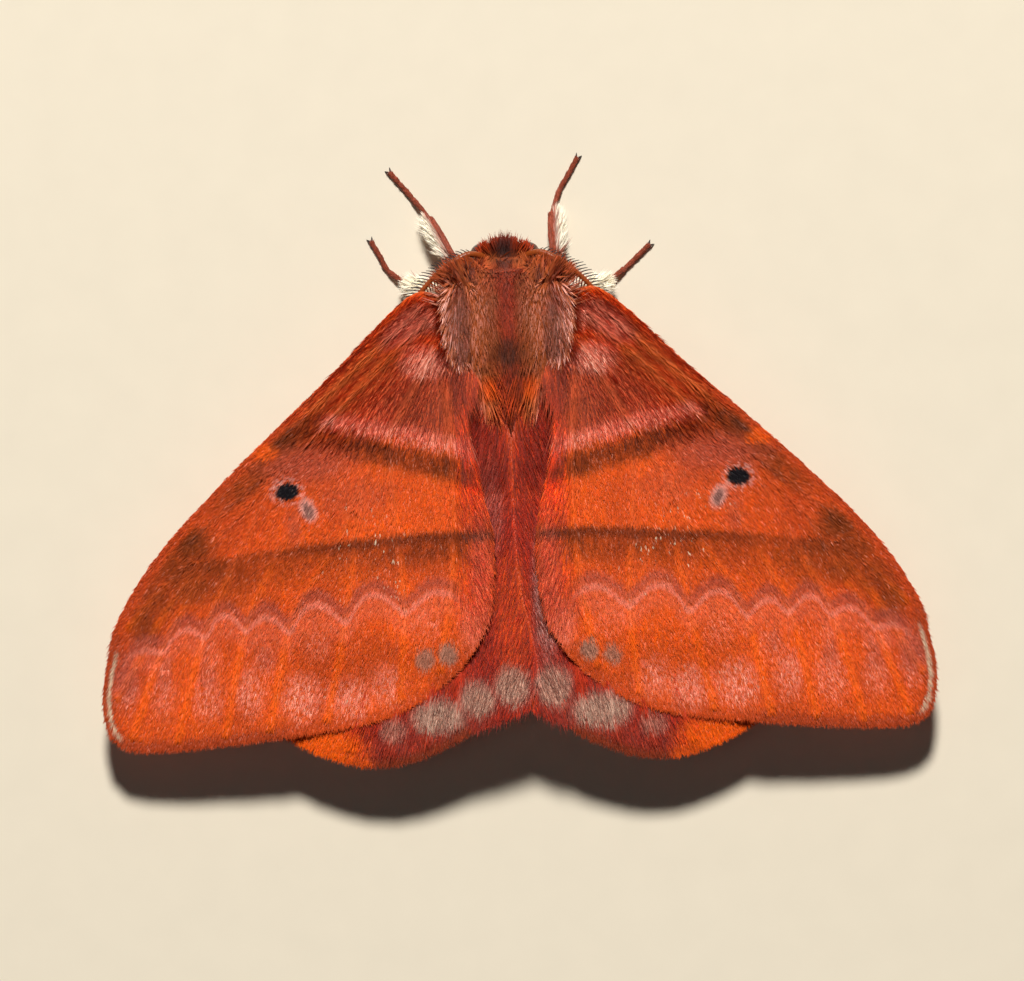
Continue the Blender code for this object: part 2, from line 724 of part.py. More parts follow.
def wing_object(name, outline, veins, height, side, finish):
    """A thin wing with raised veins. Both faces have the same triangles."""
    crests = [smooth_line(vein, VEIN_STEP) for vein in veins.values()]
    plan, edges = list(outline), []
    for line in crests + foot_lines(crests, outline):
        edges += [(len(plan) + i, len(plan) + i + 1) for i in range(len(line) - 1)]
        plan += line
    plan += grid_points(outline, plan)
    ring = tuple(range(len(outline)))
    corners, _, triangles = delaunay_2d_cdt(plan, edges, [ring], 1, MERGE_WITHIN)[:3]
    points = []
    for at in corners:
        z = height(at.x, at.y) + WING_THICKNESS / 2 + vein_rise(at, crests)
        points.append((at.x * side, at.y, z))
    for at in corners:
        points.append((at.x * side, at.y, height(at.x, at.y) - WING_THICKNESS / 2))
    count = len(corners)
    rim = {}
    for a, b, c in triangles:
        for edge in ((a, b), (b, c), (c, a)):
            rim.setdefault(tuple(sorted(edge)), []).append(edge)
    faces = [tuple(triangle) for triangle in triangles]
    faces += [tuple(i + count for i in reversed(triangle)) for triangle in triangles]
    for shared in rim.values():
        if len(shared) == 1:
            a, b = shared[0]
            faces += [(a, b, b + count), (a, b + count, a + count)]
    return make_object(name, points, faces, finish)


def make_forewing(name, side):
    outline = smooth_line(FOREWING_MARGIN, OUTLINE_STEP)
    outline += root_line(FOREWING_ROOT_Y, forewing_z)
    return wing_object(name, outline, FOREWING_VEINS, forewing_z, side, "wing_orange")


def make_hindwing(name, side):
    """The two hindwings differ only where they meet, as the seam isn't straight."""
    outline = smooth_line(HINDWING_MARGIN, OUTLINE_STEP)
    seam = smooth_line(HINDWING_SEAM, OUTLINE_STEP)
    outline += [Vector((p.x * side + GAP / 2, p.y)) for p in seam]
    outline += root_line(HINDWING_ROOT_Y, hindwing_z)
    return wing_object(name, outline, HINDWING_VEINS, hindwing_z, side, "wing_red")


def shortened(start, end, by_start, by_end):
    """A straight stretch with a little taken off each end."""
    along = (end - start).normalized()
    return start + along * by_start, end - along * by_end


def make_femur(place, hip, knee):
    start, end = shortened(hip, knee, 0.0, GAP / 2)
    radii = [FEMUR_RADIUS * share for share in (0.7, 1.0, 0.75)]
    shape = tube_shape((start, (start + end) / 2, end), radii, LEG_SIDES)
    femur = make_object(f"{place}_femur", *shape, "coat_brown")
    locks = []
    for share in (0.25, 0.6):
        for angle in degrees(10, 90, 170):
            locks.append(limb_lock(start, end, share, angle, FEMUR_RADIUS * 0.85, 1.3, 1.0, 0.4))
    return femur, locks


def make_tibia(place, knee, heel):
    """The shin carries a brush of long pale scales above and on both sides."""
    start, end = shortened(knee, heel, GAP / 2 + 0.2, GAP / 2)
    path = [start.lerp(end, share) for share in (0.0, 0.3, 0.8, 1.0)]
    radii = [TIBIA_RADIUS * share for share in (0.85, 1.05, 1.0, 0.8)]
    shape = tube_shape(path, radii, LEG_SIDES)
    tibia = make_object(f"{place}_tibia", *shape, "coat_cream")
    rows = max(3, round((end - start).length / 1.5))
    locks = []
    for row in range(rows):
        share = 0.1 + 0.6 * row / (rows - 1)
        for angle in degrees(5, 90, 175):
            locks.append(limb_lock(start, end, share, angle, TIBIA_RADIUS * 0.9, 1.4, 0.95, 0.5))
    return tibia, locks


def make_foot(place, heel, bend, tip):
    """A jointed foot that lies flat on the floor, with two claws."""
    start, end = shortened(heel, bend, GAP / 2 + 0.1, 0.0)
    path = smooth_line((start, end, bend.lerp(tip, 0.5), tip), 0.6)
    radii = []
    for i in range(len(path)):
        swell = FOOT_SEGMENT_SWELL if i % 2 else 0.0
        radii.append(FOOT_RADIUS * (0.85 + 0.1 * i / (len(path) - 1) + swell))
    shape = tube_shape(path, radii, LEG_SIDES, 0.9, floor=0.0)
    foot = make_object(f"{place}_foot", *shape, "leg_rust")
    ahead = (tip - path[-3]).normalized()
    claws = []
    for hand in (1, -1):
        reach = Matrix.Rotation(CLAW_SPREAD * hand, 3, "Z") @ ahead
        root = tip - ahead * 0.2 + reach.cross(Vector((0, 0, 1))) * 0.1 * hand
        points, faces = spine_shape(root, tip + reach * CLAW_LENGTH - Vector((0, 0, 0.2)), CLAW_RADIUS)
        for point in points:
            point.z = max(point.z, 0.0)
        claws.append(make_object("claw", points, faces, "leg_rust"))
    apply_boolean(foot, claws, "UNION")
    return foot


def make_legs():
    """Femur, tibia and foot of each leg, each its own node."""
    limbs = []
    for place, (hip, knee, heel, bend, tip) in LEGS.items():
        below = thorax_underside(*hip) - GAP - FEMUR_RADIUS * 0.75
        knee, heel, bend, tip = (Vector(p) for p in (knee, heel, bend, tip))
        limbs.append(make_femur(place, Vector((*hip, below)), knee))
        limbs.append(make_tibia(place, knee, heel))
        limbs.append((make_foot(place, heel, bend, tip), []))
    for limb, locks in limbs:
        if locks:
            add_locks(limb, locks)
    return [limb for limb, _ in limbs]


def build():
    for old in list(bpy.data.objects):
        bpy.data.objects.remove(old)
    thorax, abdomen, head = make_thorax(), make_abdomen(), make_head()
    small = []
    wings = []
    for word, side in (("right", 1), ("left", -1)):
        small.append(make_eye(f"eye_{word}", side))
        small.append(make_palp(f"palp_{word}", side))
        antenna = make_antenna(f"antenna_{word}", side)
        add_rami(antenna, side)
        small.append(antenna)
        wings.append(make_forewing(f"forewing_{word}", side))
        wings.append(make_hindwing(f"hindwing_{word}", side))
    legs = make_legs()
    around = [tree_of(thing) for thing in small + wings + legs]
    add_thorax_coat(thorax, around + [tree_of(abdomen), tree_of(head)])
    add_abdomen_coat(abdomen, around + [tree_of(thorax)])
    add_head_coat(head, around + [tree_of(thorax)])
    moth = bpy.data.objects.new("moth", None)
    bpy.context.scene.collection.objects.link(moth)
    corners = [v.co for thing in small + wings + legs for v in thing.data.vertices]
    ys = [corner.y for corner in corners]
    moth.location.y = -(max(ys) + min(ys)) / 2
    for thing in small + wings + legs + [thorax, abdomen, head]:
        thing.parent = moth


build()
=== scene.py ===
"""The dressed moth: wings, body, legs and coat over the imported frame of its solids.

Shapes are worked out in millimetres in the source's own frame, head towards +Y.
place_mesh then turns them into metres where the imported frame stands.
"""

import json
import math

import bmesh
import bpy
import numpy as np
from bpy.props import FloatProperty, FloatVectorProperty, IntProperty, PointerProperty
from mathutils import Matrix, Vector
from mathutils.geometry import delaunay_2d_cdt

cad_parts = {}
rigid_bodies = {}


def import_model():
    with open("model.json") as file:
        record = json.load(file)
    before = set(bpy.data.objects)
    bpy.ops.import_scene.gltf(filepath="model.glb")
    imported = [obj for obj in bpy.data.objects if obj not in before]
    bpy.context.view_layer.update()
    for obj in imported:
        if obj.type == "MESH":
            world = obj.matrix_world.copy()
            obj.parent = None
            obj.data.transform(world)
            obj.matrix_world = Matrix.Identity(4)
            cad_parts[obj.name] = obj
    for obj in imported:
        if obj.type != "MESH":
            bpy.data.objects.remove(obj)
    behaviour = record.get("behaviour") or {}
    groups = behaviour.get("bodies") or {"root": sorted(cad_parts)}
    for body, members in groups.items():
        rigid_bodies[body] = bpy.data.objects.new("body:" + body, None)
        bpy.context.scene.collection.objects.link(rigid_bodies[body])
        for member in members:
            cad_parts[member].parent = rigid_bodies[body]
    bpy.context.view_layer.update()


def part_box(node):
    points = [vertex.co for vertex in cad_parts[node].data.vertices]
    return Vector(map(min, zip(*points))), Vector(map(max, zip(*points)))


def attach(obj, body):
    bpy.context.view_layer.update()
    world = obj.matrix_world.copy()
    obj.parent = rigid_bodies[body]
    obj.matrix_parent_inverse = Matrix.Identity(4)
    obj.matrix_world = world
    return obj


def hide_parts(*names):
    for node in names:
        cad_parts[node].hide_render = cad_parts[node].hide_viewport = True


bl_info = {
    "name": "Resting moth",
    "version": (1, 0, 0),
    "blender": (4, 5, 0),
    "location": "3D View > Sidebar > Moth",
    "description": "Wings, body, legs, antennae and coat of a resting moth",
    "category": "Mesh",
}

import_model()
BODY = "root"
MM = 0.001
EYE_CENTRE = (1.85, 16.1, 4.6)
EYE_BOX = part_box("eye_right")
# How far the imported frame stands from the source's own frame, along the body.
SHIFT_Y = (EYE_BOX[0].y + EYE_BOX[1].y) / 2 / MM - EYE_CENTRE[1]
SIDES = {"right": 1, "left": -1}

# Rings along the body: (y, half width, height of the middle, half height).
THORAX_RINGS = (
    (14.8, 1.1, 6.2, 1.2),
    (14.4, 2.3, 6.1, 2.4),
    (13.3, 3.5, 6.0, 3.6),
    (11.6, 4.1, 6.0, 4.2),
    (9.4, 4.25, 6.0, 4.4),
    (7.4, 3.9, 5.9, 4.0),
    (5.8, 3.3, 5.6, 3.0),
    (4.4, 2.7, 5.3, 2.4),
    (3.0, 2.1, 4.9, 1.9),
)
ABDOMEN_FRONT_Y = 3.1
ABDOMEN_TAIL_Y = -13.2
ABDOMEN_HALF = (2.55, 2.25)
ABDOMEN_MID_Z = 4.0
ABDOMEN_SEGMENTS = 8
THORAX_SHARE = 0.95
HEAD_CENTRE = (0.0, 15.9, 4.9)
HEAD_HALF = (1.8, 0.86, 1.95)
# Rings of the neck, which runs from inside the thorax into the head.
NECK_RINGS = (
    (13.0, 2.2, 5.8, 2.4), (14.4, 2.1, 5.7, 2.3), (15.3, 1.7, 5.3, 1.9), (16.0, 1.3, 5.0, 1.6),
)
# The plates that cover the wing roots and the collar: centre and half sizes on the right side.
SHOULDER_PADS = (
    ((3.45, 10.9, 8.5), (1.15, 3.1, 0.75)),
    ((2.7, 14.0, 7.0), (1.35, 1.0, 1.25)),
)
# The plan of the line where the ruff's hairs end, along the antenna.
RUFF_EDGE = (
    (0.5, 16.35), (1.8, 16.3), (2.8, 16.0), (3.8, 15.55), (5.0, 14.8), (6.2, 13.65), (6.8, 12.9),
)
PALP_PATH = ((0.62, 16.6, 2.9), (0.7, 17.0, 3.4), (0.62, 17.05, 4.0))

ANTENNA_PATH = (
    (1.1, 15.5, 5.5),
    (1.9, 15.85, 6.2),
    (2.8, 15.95, 6.65),
    (3.8, 15.5, 6.8),
    (5.0, 14.7, 6.6),
    (6.3, 13.5, 6.3),
    (7.4, 12.0, 5.95),
    (8.2, 10.3, 5.6),
    (8.8, 8.6, 5.3),
)

# Wing plans on the right side: the margin, the places where it meets the body, and its veins.
FOREWING_MARGIN = (
    (5.3, 12.95), (6.9, 13.1), (9.1, 11.5), (13.7, 7.0), (19.2, 2.0), (23.2, -1.8),
    (26.8, -5.5), (29.7, -9.3), (31.6, -13.2), (32.45, -17.0), (32.1, -19.8), (30.7, -21.3),
    (28.0, -21.6), (22.5, -21.25), (18.2, -20.8), (13.0, -20.15), (9.4, -19.3), (6.3, -17.6),
    (3.9, -15.4), (2.4, -12.6), (1.8, -9.3), (1.75, -5.5), (2.4, -2.4), (3.2, 1.0), (3.6, 4.2),
)
FOREWING_ROOT_Y = (12.4, 6.8)
FOREWING_VEINS = {
    "subcosta": ((6.6, 12.0), (11.8, 7.6), (17.4, 2.6), (20.0, 0.2)),
    "radius": ((6.0, 11.2), (11.4, 6.2), (15.8, 1.7), (18.4, -0.8)),
    "radius_1": ((15.8, 1.7), (20.6, -1.7), (25.0, -5.3)),
    "radius_2": ((18.4, -0.8), (22.6, -5.0), (26.9, -8.6), (29.9, -11.8)),
    "radius_4": ((22.6, -5.0), (27.4, -11.2), (31.0, -17.2)),
    "radius_5": ((22.6, -5.0), (25.2, -9.6), (27.4, -13.6), (30.0, -20.3)),
    "media_1": ((18.4, -0.8), (21.2, -6.4), (24.1, -12.5), (26.5, -20.6)),
    "media_2": ((16.2, -3.3), (18.8, -7.6), (20.9, -12.2), (22.8, -20.3)),
    "media_3": ((13.4, -5.6), (15.7, -8.8), (17.6, -12.5), (19.3, -19.9)),
    "cubitus": ((5.2, 9.4), (8.6, 3.6), (11.6, -1.6), (13.4, -5.6)),
    "cubitus_1": ((11.6, -1.6), (12.4, -7.0), (13.2, -11.9), (14.9, -19.4)),
    "cubitus_2": ((9.4, 2.2), (9.0, -5.0), (8.6, -11.2), (9.2, -18.0)),
    "anal": ((4.8, 7.2), (4.6, 0.0), (4.8, -8.0), (6.0, -15.8)),
    "cross_vein": ((18.4, -0.8), (16.2, -3.3), (13.4, -5.6)),
}
HINDWING_MARGIN = (
    (6.0, 4.2), (9.4, 1.4), (13.2, -3.2), (17.0, -8.4), (19.9, -12.9), (20.9, -16.6),
    (19.8, -19.4), (17.6, -21.2), (15.0, -22.5), (12.4, -23.25), (9.9, -23.3), (7.2, -22.6),
    (4.2, -21.2),
)
HINDWING_ROOT_Y = (6.0, 4.4)
HINDWING_VEINS = {
    "subcosta": ((5.4, 3.2), (11.0, -2.4), (16.4, -9.8), (19.4, -14.8)),
    "radius": ((4.8, 2.0), (9.6, -3.8), (14.5, -11.0), (18.4, -18.4)),
    "media_1": ((9.6, -3.8), (13.4, -12.6), (16.2, -20.4)),
    "media_2": ((8.2, -5.4), (10.9, -14.0), (13.2, -21.8)),
    "media_3": ((6.4, -6.6), (8.6, -15.0), (10.2, -22.0)),
    "cubitus": ((3.9, 1.2), (5.1, -2.6), (6.4, -6.6)),
    "cubitus_1": ((5.1, -2.6), (6.2, -13.0), (7.3, -21.2)),
    "cubitus_2": ((3.9, 1.2), (4.0, -10.0), (4.9, -19.8)),
    "cross_vein": ((9.6, -3.8), (8.2, -5.4), (6.4, -6.6)),
}
# The line down the back where the two hindwings meet, from the tail forward.
HINDWING_SEAM = (
    (0.75, -19.1), (1.45, -16.4), (1.1, -13.4), (0.4, -10.2), (0.05, -6.0), (0.0, -2.0), (0.0, 1.6),
)
SHOULDER = (6.0, 13.0)
COSTA_DIRECTION = (0.628, -0.778)
WING_BASE_Z = 8.6
FOREWING_OFFSET_Z = -0.12
HINDWING_OFFSET_Z = -0.98
FRINGE_FROM_Y = -12.5
WING_GRID = 0.36
VEIN_STEP = 0.45
MARGIN_STEP = 0.4
SLOPE_STEP = 0.5
# Each map keeps a free edge. A wing's map shows these lengths across and up.
MAP_EDGE = 0.02
MAP_SPAN = 0.96
WING_MAP_SPAN = (110, 45)

# Legs: hip in plan, then knee, heel, bend of the foot and tip of the foot.
LEGS = {
    "fore_right": ((2.0, 13.2), (3.9, 15.6, 2.9), (3.8, 19.2, 1.0), (4.4, 20.9, 0.34), (5.7, 23.1, 0.3)),
    "fore_left": ((-2.0, 13.2), (-4.0, 15.6, 2.9), (-5.8, 19.1, 1.0), (-7.2, 20.9, 0.34), (-8.5, 22.5, 0.3)),
    "mid_right": ((2.5, 10.6), (4.9, 12.7, 3.1), (7.8, 13.6, 1.1), (9.4, 14.75, 0.34), (11.0, 16.2, 0.3)),
    "mid_left": ((-2.5, 10.6), (-4.7, 12.9, 3.1), (-7.5, 13.9, 1.1), (-9.1, 15.1, 0.34), (-10.2, 17.1, 0.3)),
    "hind_right": ((2.4, 7.6), (6.4, 5.0, 3.3), (9.0, -1.4, 1.1), (9.9, -4.2, 0.34), (10.8, -8.0, 0.3)),
    "hind_left": ((-2.4, 7.6), (-6.4, 5.0, 3.3), (-9.2, -1.4, 1.1), (-10.2, -4.2, 0.34), (-11.0, -8.0, 0.3)),
}
FOOT_END = 0.4
FOOT_JOINTS = (0.0, 0.4, 0.58, 0.73, 0.86, 1.0)
FLESH = ("abdomen", "thorax", "head", "palp_left", "palp_right") + tuple(
    f"{leg}_{part}" for leg in LEGS for part in ("femur", "tibia", "foot")
)


def seen(red, green, blue):
    """A colour as it is seen, from 0 to 255, in the linear values that shaders use."""
    return tuple(((value / 255 + 0.055) / 1.055) ** 2.4 for value in (red, green, blue))


def colour_property(label, use, *colour):
    """A colour that a user may change."""
    return FloatVectorProperty(
        name=label, description=use, subtype="COLOR", size=3, min=0.0, max=1.0, default=seen(*colour)
    )


def length_property(label, use, millimetres):
    """A length that a user may change, kept in metres."""
    return FloatProperty(
        name=label, description=use, unit="LENGTH", subtype="DISTANCE", precision=5,
        default=millimetres * MM,
    )


class MothSizes(bpy.types.PropertyGroup):
    """Sizes of the bare parts under the coat."""

    wing_sheet: length_property("Wing thickness", "Thickness of the bare wing", 0.14)
    vein_ridge: length_property("Vein ridge", "How far a vein stands up from the wing", 0.16)
    fringe: length_property("Fringe", "How far the fringe reaches past the bare wing", 0.3)
    skin_voxel: length_property("Skin detail", "Size of the cells that fuse the body's skin", 0.12)
    femur_radius: length_property("Thigh radius", "Radius of the bare femur", 0.46)
    tibia_radius: length_property("Shin radius", "Radius of the bare tibia", 0.35)
    foot_radius: length_property("Foot radius", "Radius of the foot's segments", 0.2)
    claw_length: length_property("Claw length", "Length of one claw along its curve", 0.5)
    eye_radius: length_property("Eye radius", "Radius of a compound eye", 0.82)
    antenna_radius: length_property("Antenna radius", "Radius of an antenna's shaft", 0.26)
    ramus_pitch: length_property("Comb pitch", "Distance between the antenna's comb teeth", 0.27)
    ramus_length: length_property("Comb length", "Length of the longest comb teeth", 1.1)


class MothCoat(bpy.types.PropertyGroup):
    """Sizes and numbers of the scales and hairs."""

    scale_length: length_property("Scale length", "Length of a wing scale", 0.52)
    scale_width: length_property("Scale width", "Width of a wing scale", 0.115)
    scale_density: FloatProperty(
        name="Scales per square mm", description="How thickly the wings are scaled", default=98.0, min=1.0
    )
    hair_length: length_property("Hair length", "Length of the hair on the thorax", 1.2)
    hair_width: length_property("Hair width", "Width of a lock of hair on the thorax", 0.058)
    hair_density: FloatProperty(
        name="Hairs per square mm", description="How thickly the thorax is haired", default=120.0, min=1.0
    )
    leg_scale_length: length_property("Leg scale length", "Length of the scales on the legs", 0.28)
    leg_scale_width: length_property("Leg scale width", "Width of the scales on the legs", 0.085)
    seed: IntProperty(name="Seed", description="Start of the coat's random draws", default=11, min=0)


class MothColours(bpy.types.PropertyGroup):
    """Colours of the markings, the body and the legs."""

    orange: colour_property("Wing orange", "Ground colour of the wings", 236, 98, 33)
    bright: colour_property("Bright orange", "Brightest scales of the wings", 250, 104, 14)
    rust: colour_property("Rust", "Outer margin and shaded parts of the wings", 204, 78, 32)
    base: colour_property("Wing base", "Red-brown of the wing's base", 204, 92, 54)
    band: colour_property("Band", "Dark bands across the wings", 122, 46, 14)
    olive: colour_property("Front shade", "Olive brown behind the front edge", 132, 60, 20)
    pink: colour_property("Pink", "Pink hair bands and arcs", 242, 138, 112)
    pale: colour_property("Pale pink", "Palest hairs of the wings", 252, 196, 172)
    mauve: colour_property("Mauve", "Mauve shades above the arcs", 186, 88, 70)
    grey: colour_property("Grey", "Grey spots on both pairs of wings", 176, 132, 112)
    black: colour_property("Black", "The black spot of the forewing", 24, 20, 26)
    cream: colour_property("Cream", "Rubbed flecks, and the line near the wing's tip", 240, 222, 190)
    red: colour_property("Hindwing red", "Ground colour of the hindwings", 206, 62, 34)
    brown: colour_property("Thorax brown", "Hair of the thorax", 188, 96, 50)
    lilac: colour_property("Lilac tips", "Tips of the thorax hair, and rings round the spots", 234, 186, 176)
    brush: colour_property("Brush", "Pale brushes on the shins", 250, 243, 224)
    leg: colour_property("Leg", "Red brown of the legs", 148, 68, 44)
    floor: colour_property("Floor", "The pale floor", 236, 226, 206)


# Shader values.


class Field:
    """A value that changes over a surface: one output of a node."""

    def __init__(self, tree, socket):
        self.tree = tree
        self.socket = socket

    def maths(self, operation, *others):
        node = self.tree.nodes.new("ShaderNodeMath")
        node.operation = operation
        for socket, value in zip(node.inputs, (self, *others)):
            feed(self.tree, socket, value)
        return Field(self.tree, node.outputs[0])

    def __add__(self, other):
        return self.maths("ADD", other)

    def __sub__(self, other):
        return self.maths("SUBTRACT", other)

    def __mul__(self, other):
        return self.maths("MULTIPLY", other)

    def __rsub__(self, other):
        return self.maths("MULTIPLY_ADD", -1.0, other)

    __radd__ = __add__
    __rmul__ = __mul__


def feed(tree, socket, value):
    """Links a field to a socket, or sets a plain value on it."""
    if isinstance(value, Field):
        tree.links.new(value.socket, socket)
    elif hasattr(value, "is_output"):
        tree.links.new(value, socket)
    else:
        socket.default_value = value


def add(tree, kind, inputs=None, **settings):
    """A new node with its settings made and its inputs fed, by name or number."""
    node = tree.nodes.new(kind)
    for name, value in settings.items():
        setattr(node, name, value)
    for name, value in (inputs or {}).items():
        feed(tree, node.inputs[name], value)
    return node


def split(field):
    """The three parts of a vector field."""
    node = add(field.tree, "ShaderNodeSeparateXYZ", {0: field})
    return [Field(field.tree, output) for output in node.outputs]


def joined(x, y, z):
    """A vector field from three parts, of which at least one is a field."""
    tree = next(part.tree for part in (x, y, z) if isinstance(part, Field))
    node = add(tree, "ShaderNodeCombineXYZ", {0: x, 1: y, 2: z})
    return Field(tree, node.outputs[0])


def stretched(field, x, y, z):
    """A place with its three parts scaled."""
    node = add(field.tree, "ShaderNodeVectorMath", {0: field, 1: (x, y, z)}, operation="MULTIPLY")
    return Field(field.tree, node.outputs[0])


def ramp(value, start, end):
    """0 at start and 1 at end, with a smooth change between them."""
    inputs = {0: value, 1: start, 2: end}
    node = add(value.tree, "ShaderNodeMapRange", inputs, interpolation_type="SMOOTHSTEP")
    return Field(value.tree, node.outputs[0])


def noise(place, scale, detail=2.0):
    """Soft random values about 0.5."""
    node = add(place.tree, "ShaderNodeTexNoise", {"Vector": place, "Scale": scale, "Detail": detail})
    return Field(place.tree, node.outputs["Fac"])


def spot(place, centre, half, soft=0.45, turn=0.0):
    """1 inside an ellipse of the plan and 0 outside, with a soft edge."""
    inputs = {
        "Vector": place,
        "Location": (*centre, 0.0),
        "Rotation": (0.0, 0.0, math.radians(turn)),
        "Scale": (*half, 1.0),
    }
    mapped = add(place.tree, "ShaderNodeMapping", inputs, vector_type="TEXTURE")
    length = add(place.tree, "ShaderNodeVectorMath", {0: mapped.outputs[0]}, operation="LENGTH")
    return ramp(Field(place.tree, length.outputs["Value"]), 1.0 + soft, 1.0 - soft)


def spots(place, rows, soft=0.45):
    """The union of several ellipses, each (x, y, half width, half length, strength)."""
    total = None
    for x, y, wide, long, strength in rows:
        mask = spot(place, (x, y), (wide, long), soft) * strength
        total = mask if total is None else total.maths("MAXIMUM", mask)
    return total


PLAN_WIDTH = 34.0
PLAN_LOW = -26.0
PLAN_HEIGHT = 44.0


def plan_line(across, points, cusps=()):
    """The height on the plan of a line through points, for a distance across it."""
    node = add(across.tree, "ShaderNodeFloatCurve", {"Value": across * (1 / PLAN_WIDTH)})
    line = node.mapping.curves[0]
    node.mapping.extend = "HORIZONTAL"
    places = [(x / PLAN_WIDTH, (y - PLAN_LOW) / PLAN_HEIGHT) for x, y in points]
    line.points[0].location = places[0]
    line.points[1].location = places[-1]
    for place in places[1:-1]:
        line.points.new(*place)
    for number, point in enumerate(line.points):
        point.handle_type = "VECTOR" if number in cusps else "AUTO"
    node.mapping.update()
    return Field(across.tree, node.outputs[0]) * PLAN_HEIGHT + PLAN_LOW


def band(offset, low, high, soft=0.2):
    """1 between two offsets from a line, and 0 beyond them."""
    return ramp(offset, low - soft, low + soft) * ramp(offset, high + soft, high - soft)


def tinted(base, colour, mask):
    """A colour painted over another where the mask is 1."""
    tree = mask.tree
    inputs = {0: mask}
    for number, value in ((6, base), (7, colour)):
        inputs[number] = value if isinstance(value, Field) else (*value, 1.0)
    node = add(tree, "ShaderNodeMix", inputs, data_type="RGBA")
    return Field(tree, node.outputs[2])


def shaded(colour, amount):
    """A colour made lighter or darker by a factor."""
    node = add(amount.tree, "ShaderNodeVectorMath", {0: colour}, operation="SCALE")
    feed(amount.tree, node.inputs["Scale"], amount)
    return Field(amount.tree, node.outputs[0])


def new_group(name, kind, inputs, output):
    """A new node group, its inputs as fields, and its one output. Both map names to kinds."""
    tree = bpy.data.node_groups.new(name, kind)
    for way, sockets in (("INPUT", inputs), ("OUTPUT", output)):
        for word, value in sockets.items():
            tree.interface.new_socket(word, in_out=way, socket_type=f"NodeSocket{value}")
    source = tree.nodes.new("NodeGroupInput")
    result = tree.nodes.new("NodeGroupOutput")
    return tree, {word: Field(tree, source.outputs[word]) for word in inputs}, result.inputs[0]


def wing_group(name):
    """A group for a wing's pattern. Edges holds distances that each wing's mesh carries."""
    inputs = {"Place": "Vector", "Edges": "Vector", "Chance": "Float"}
    return new_group(name, "ShaderNodeTree", inputs, {"Colour": "Color"})


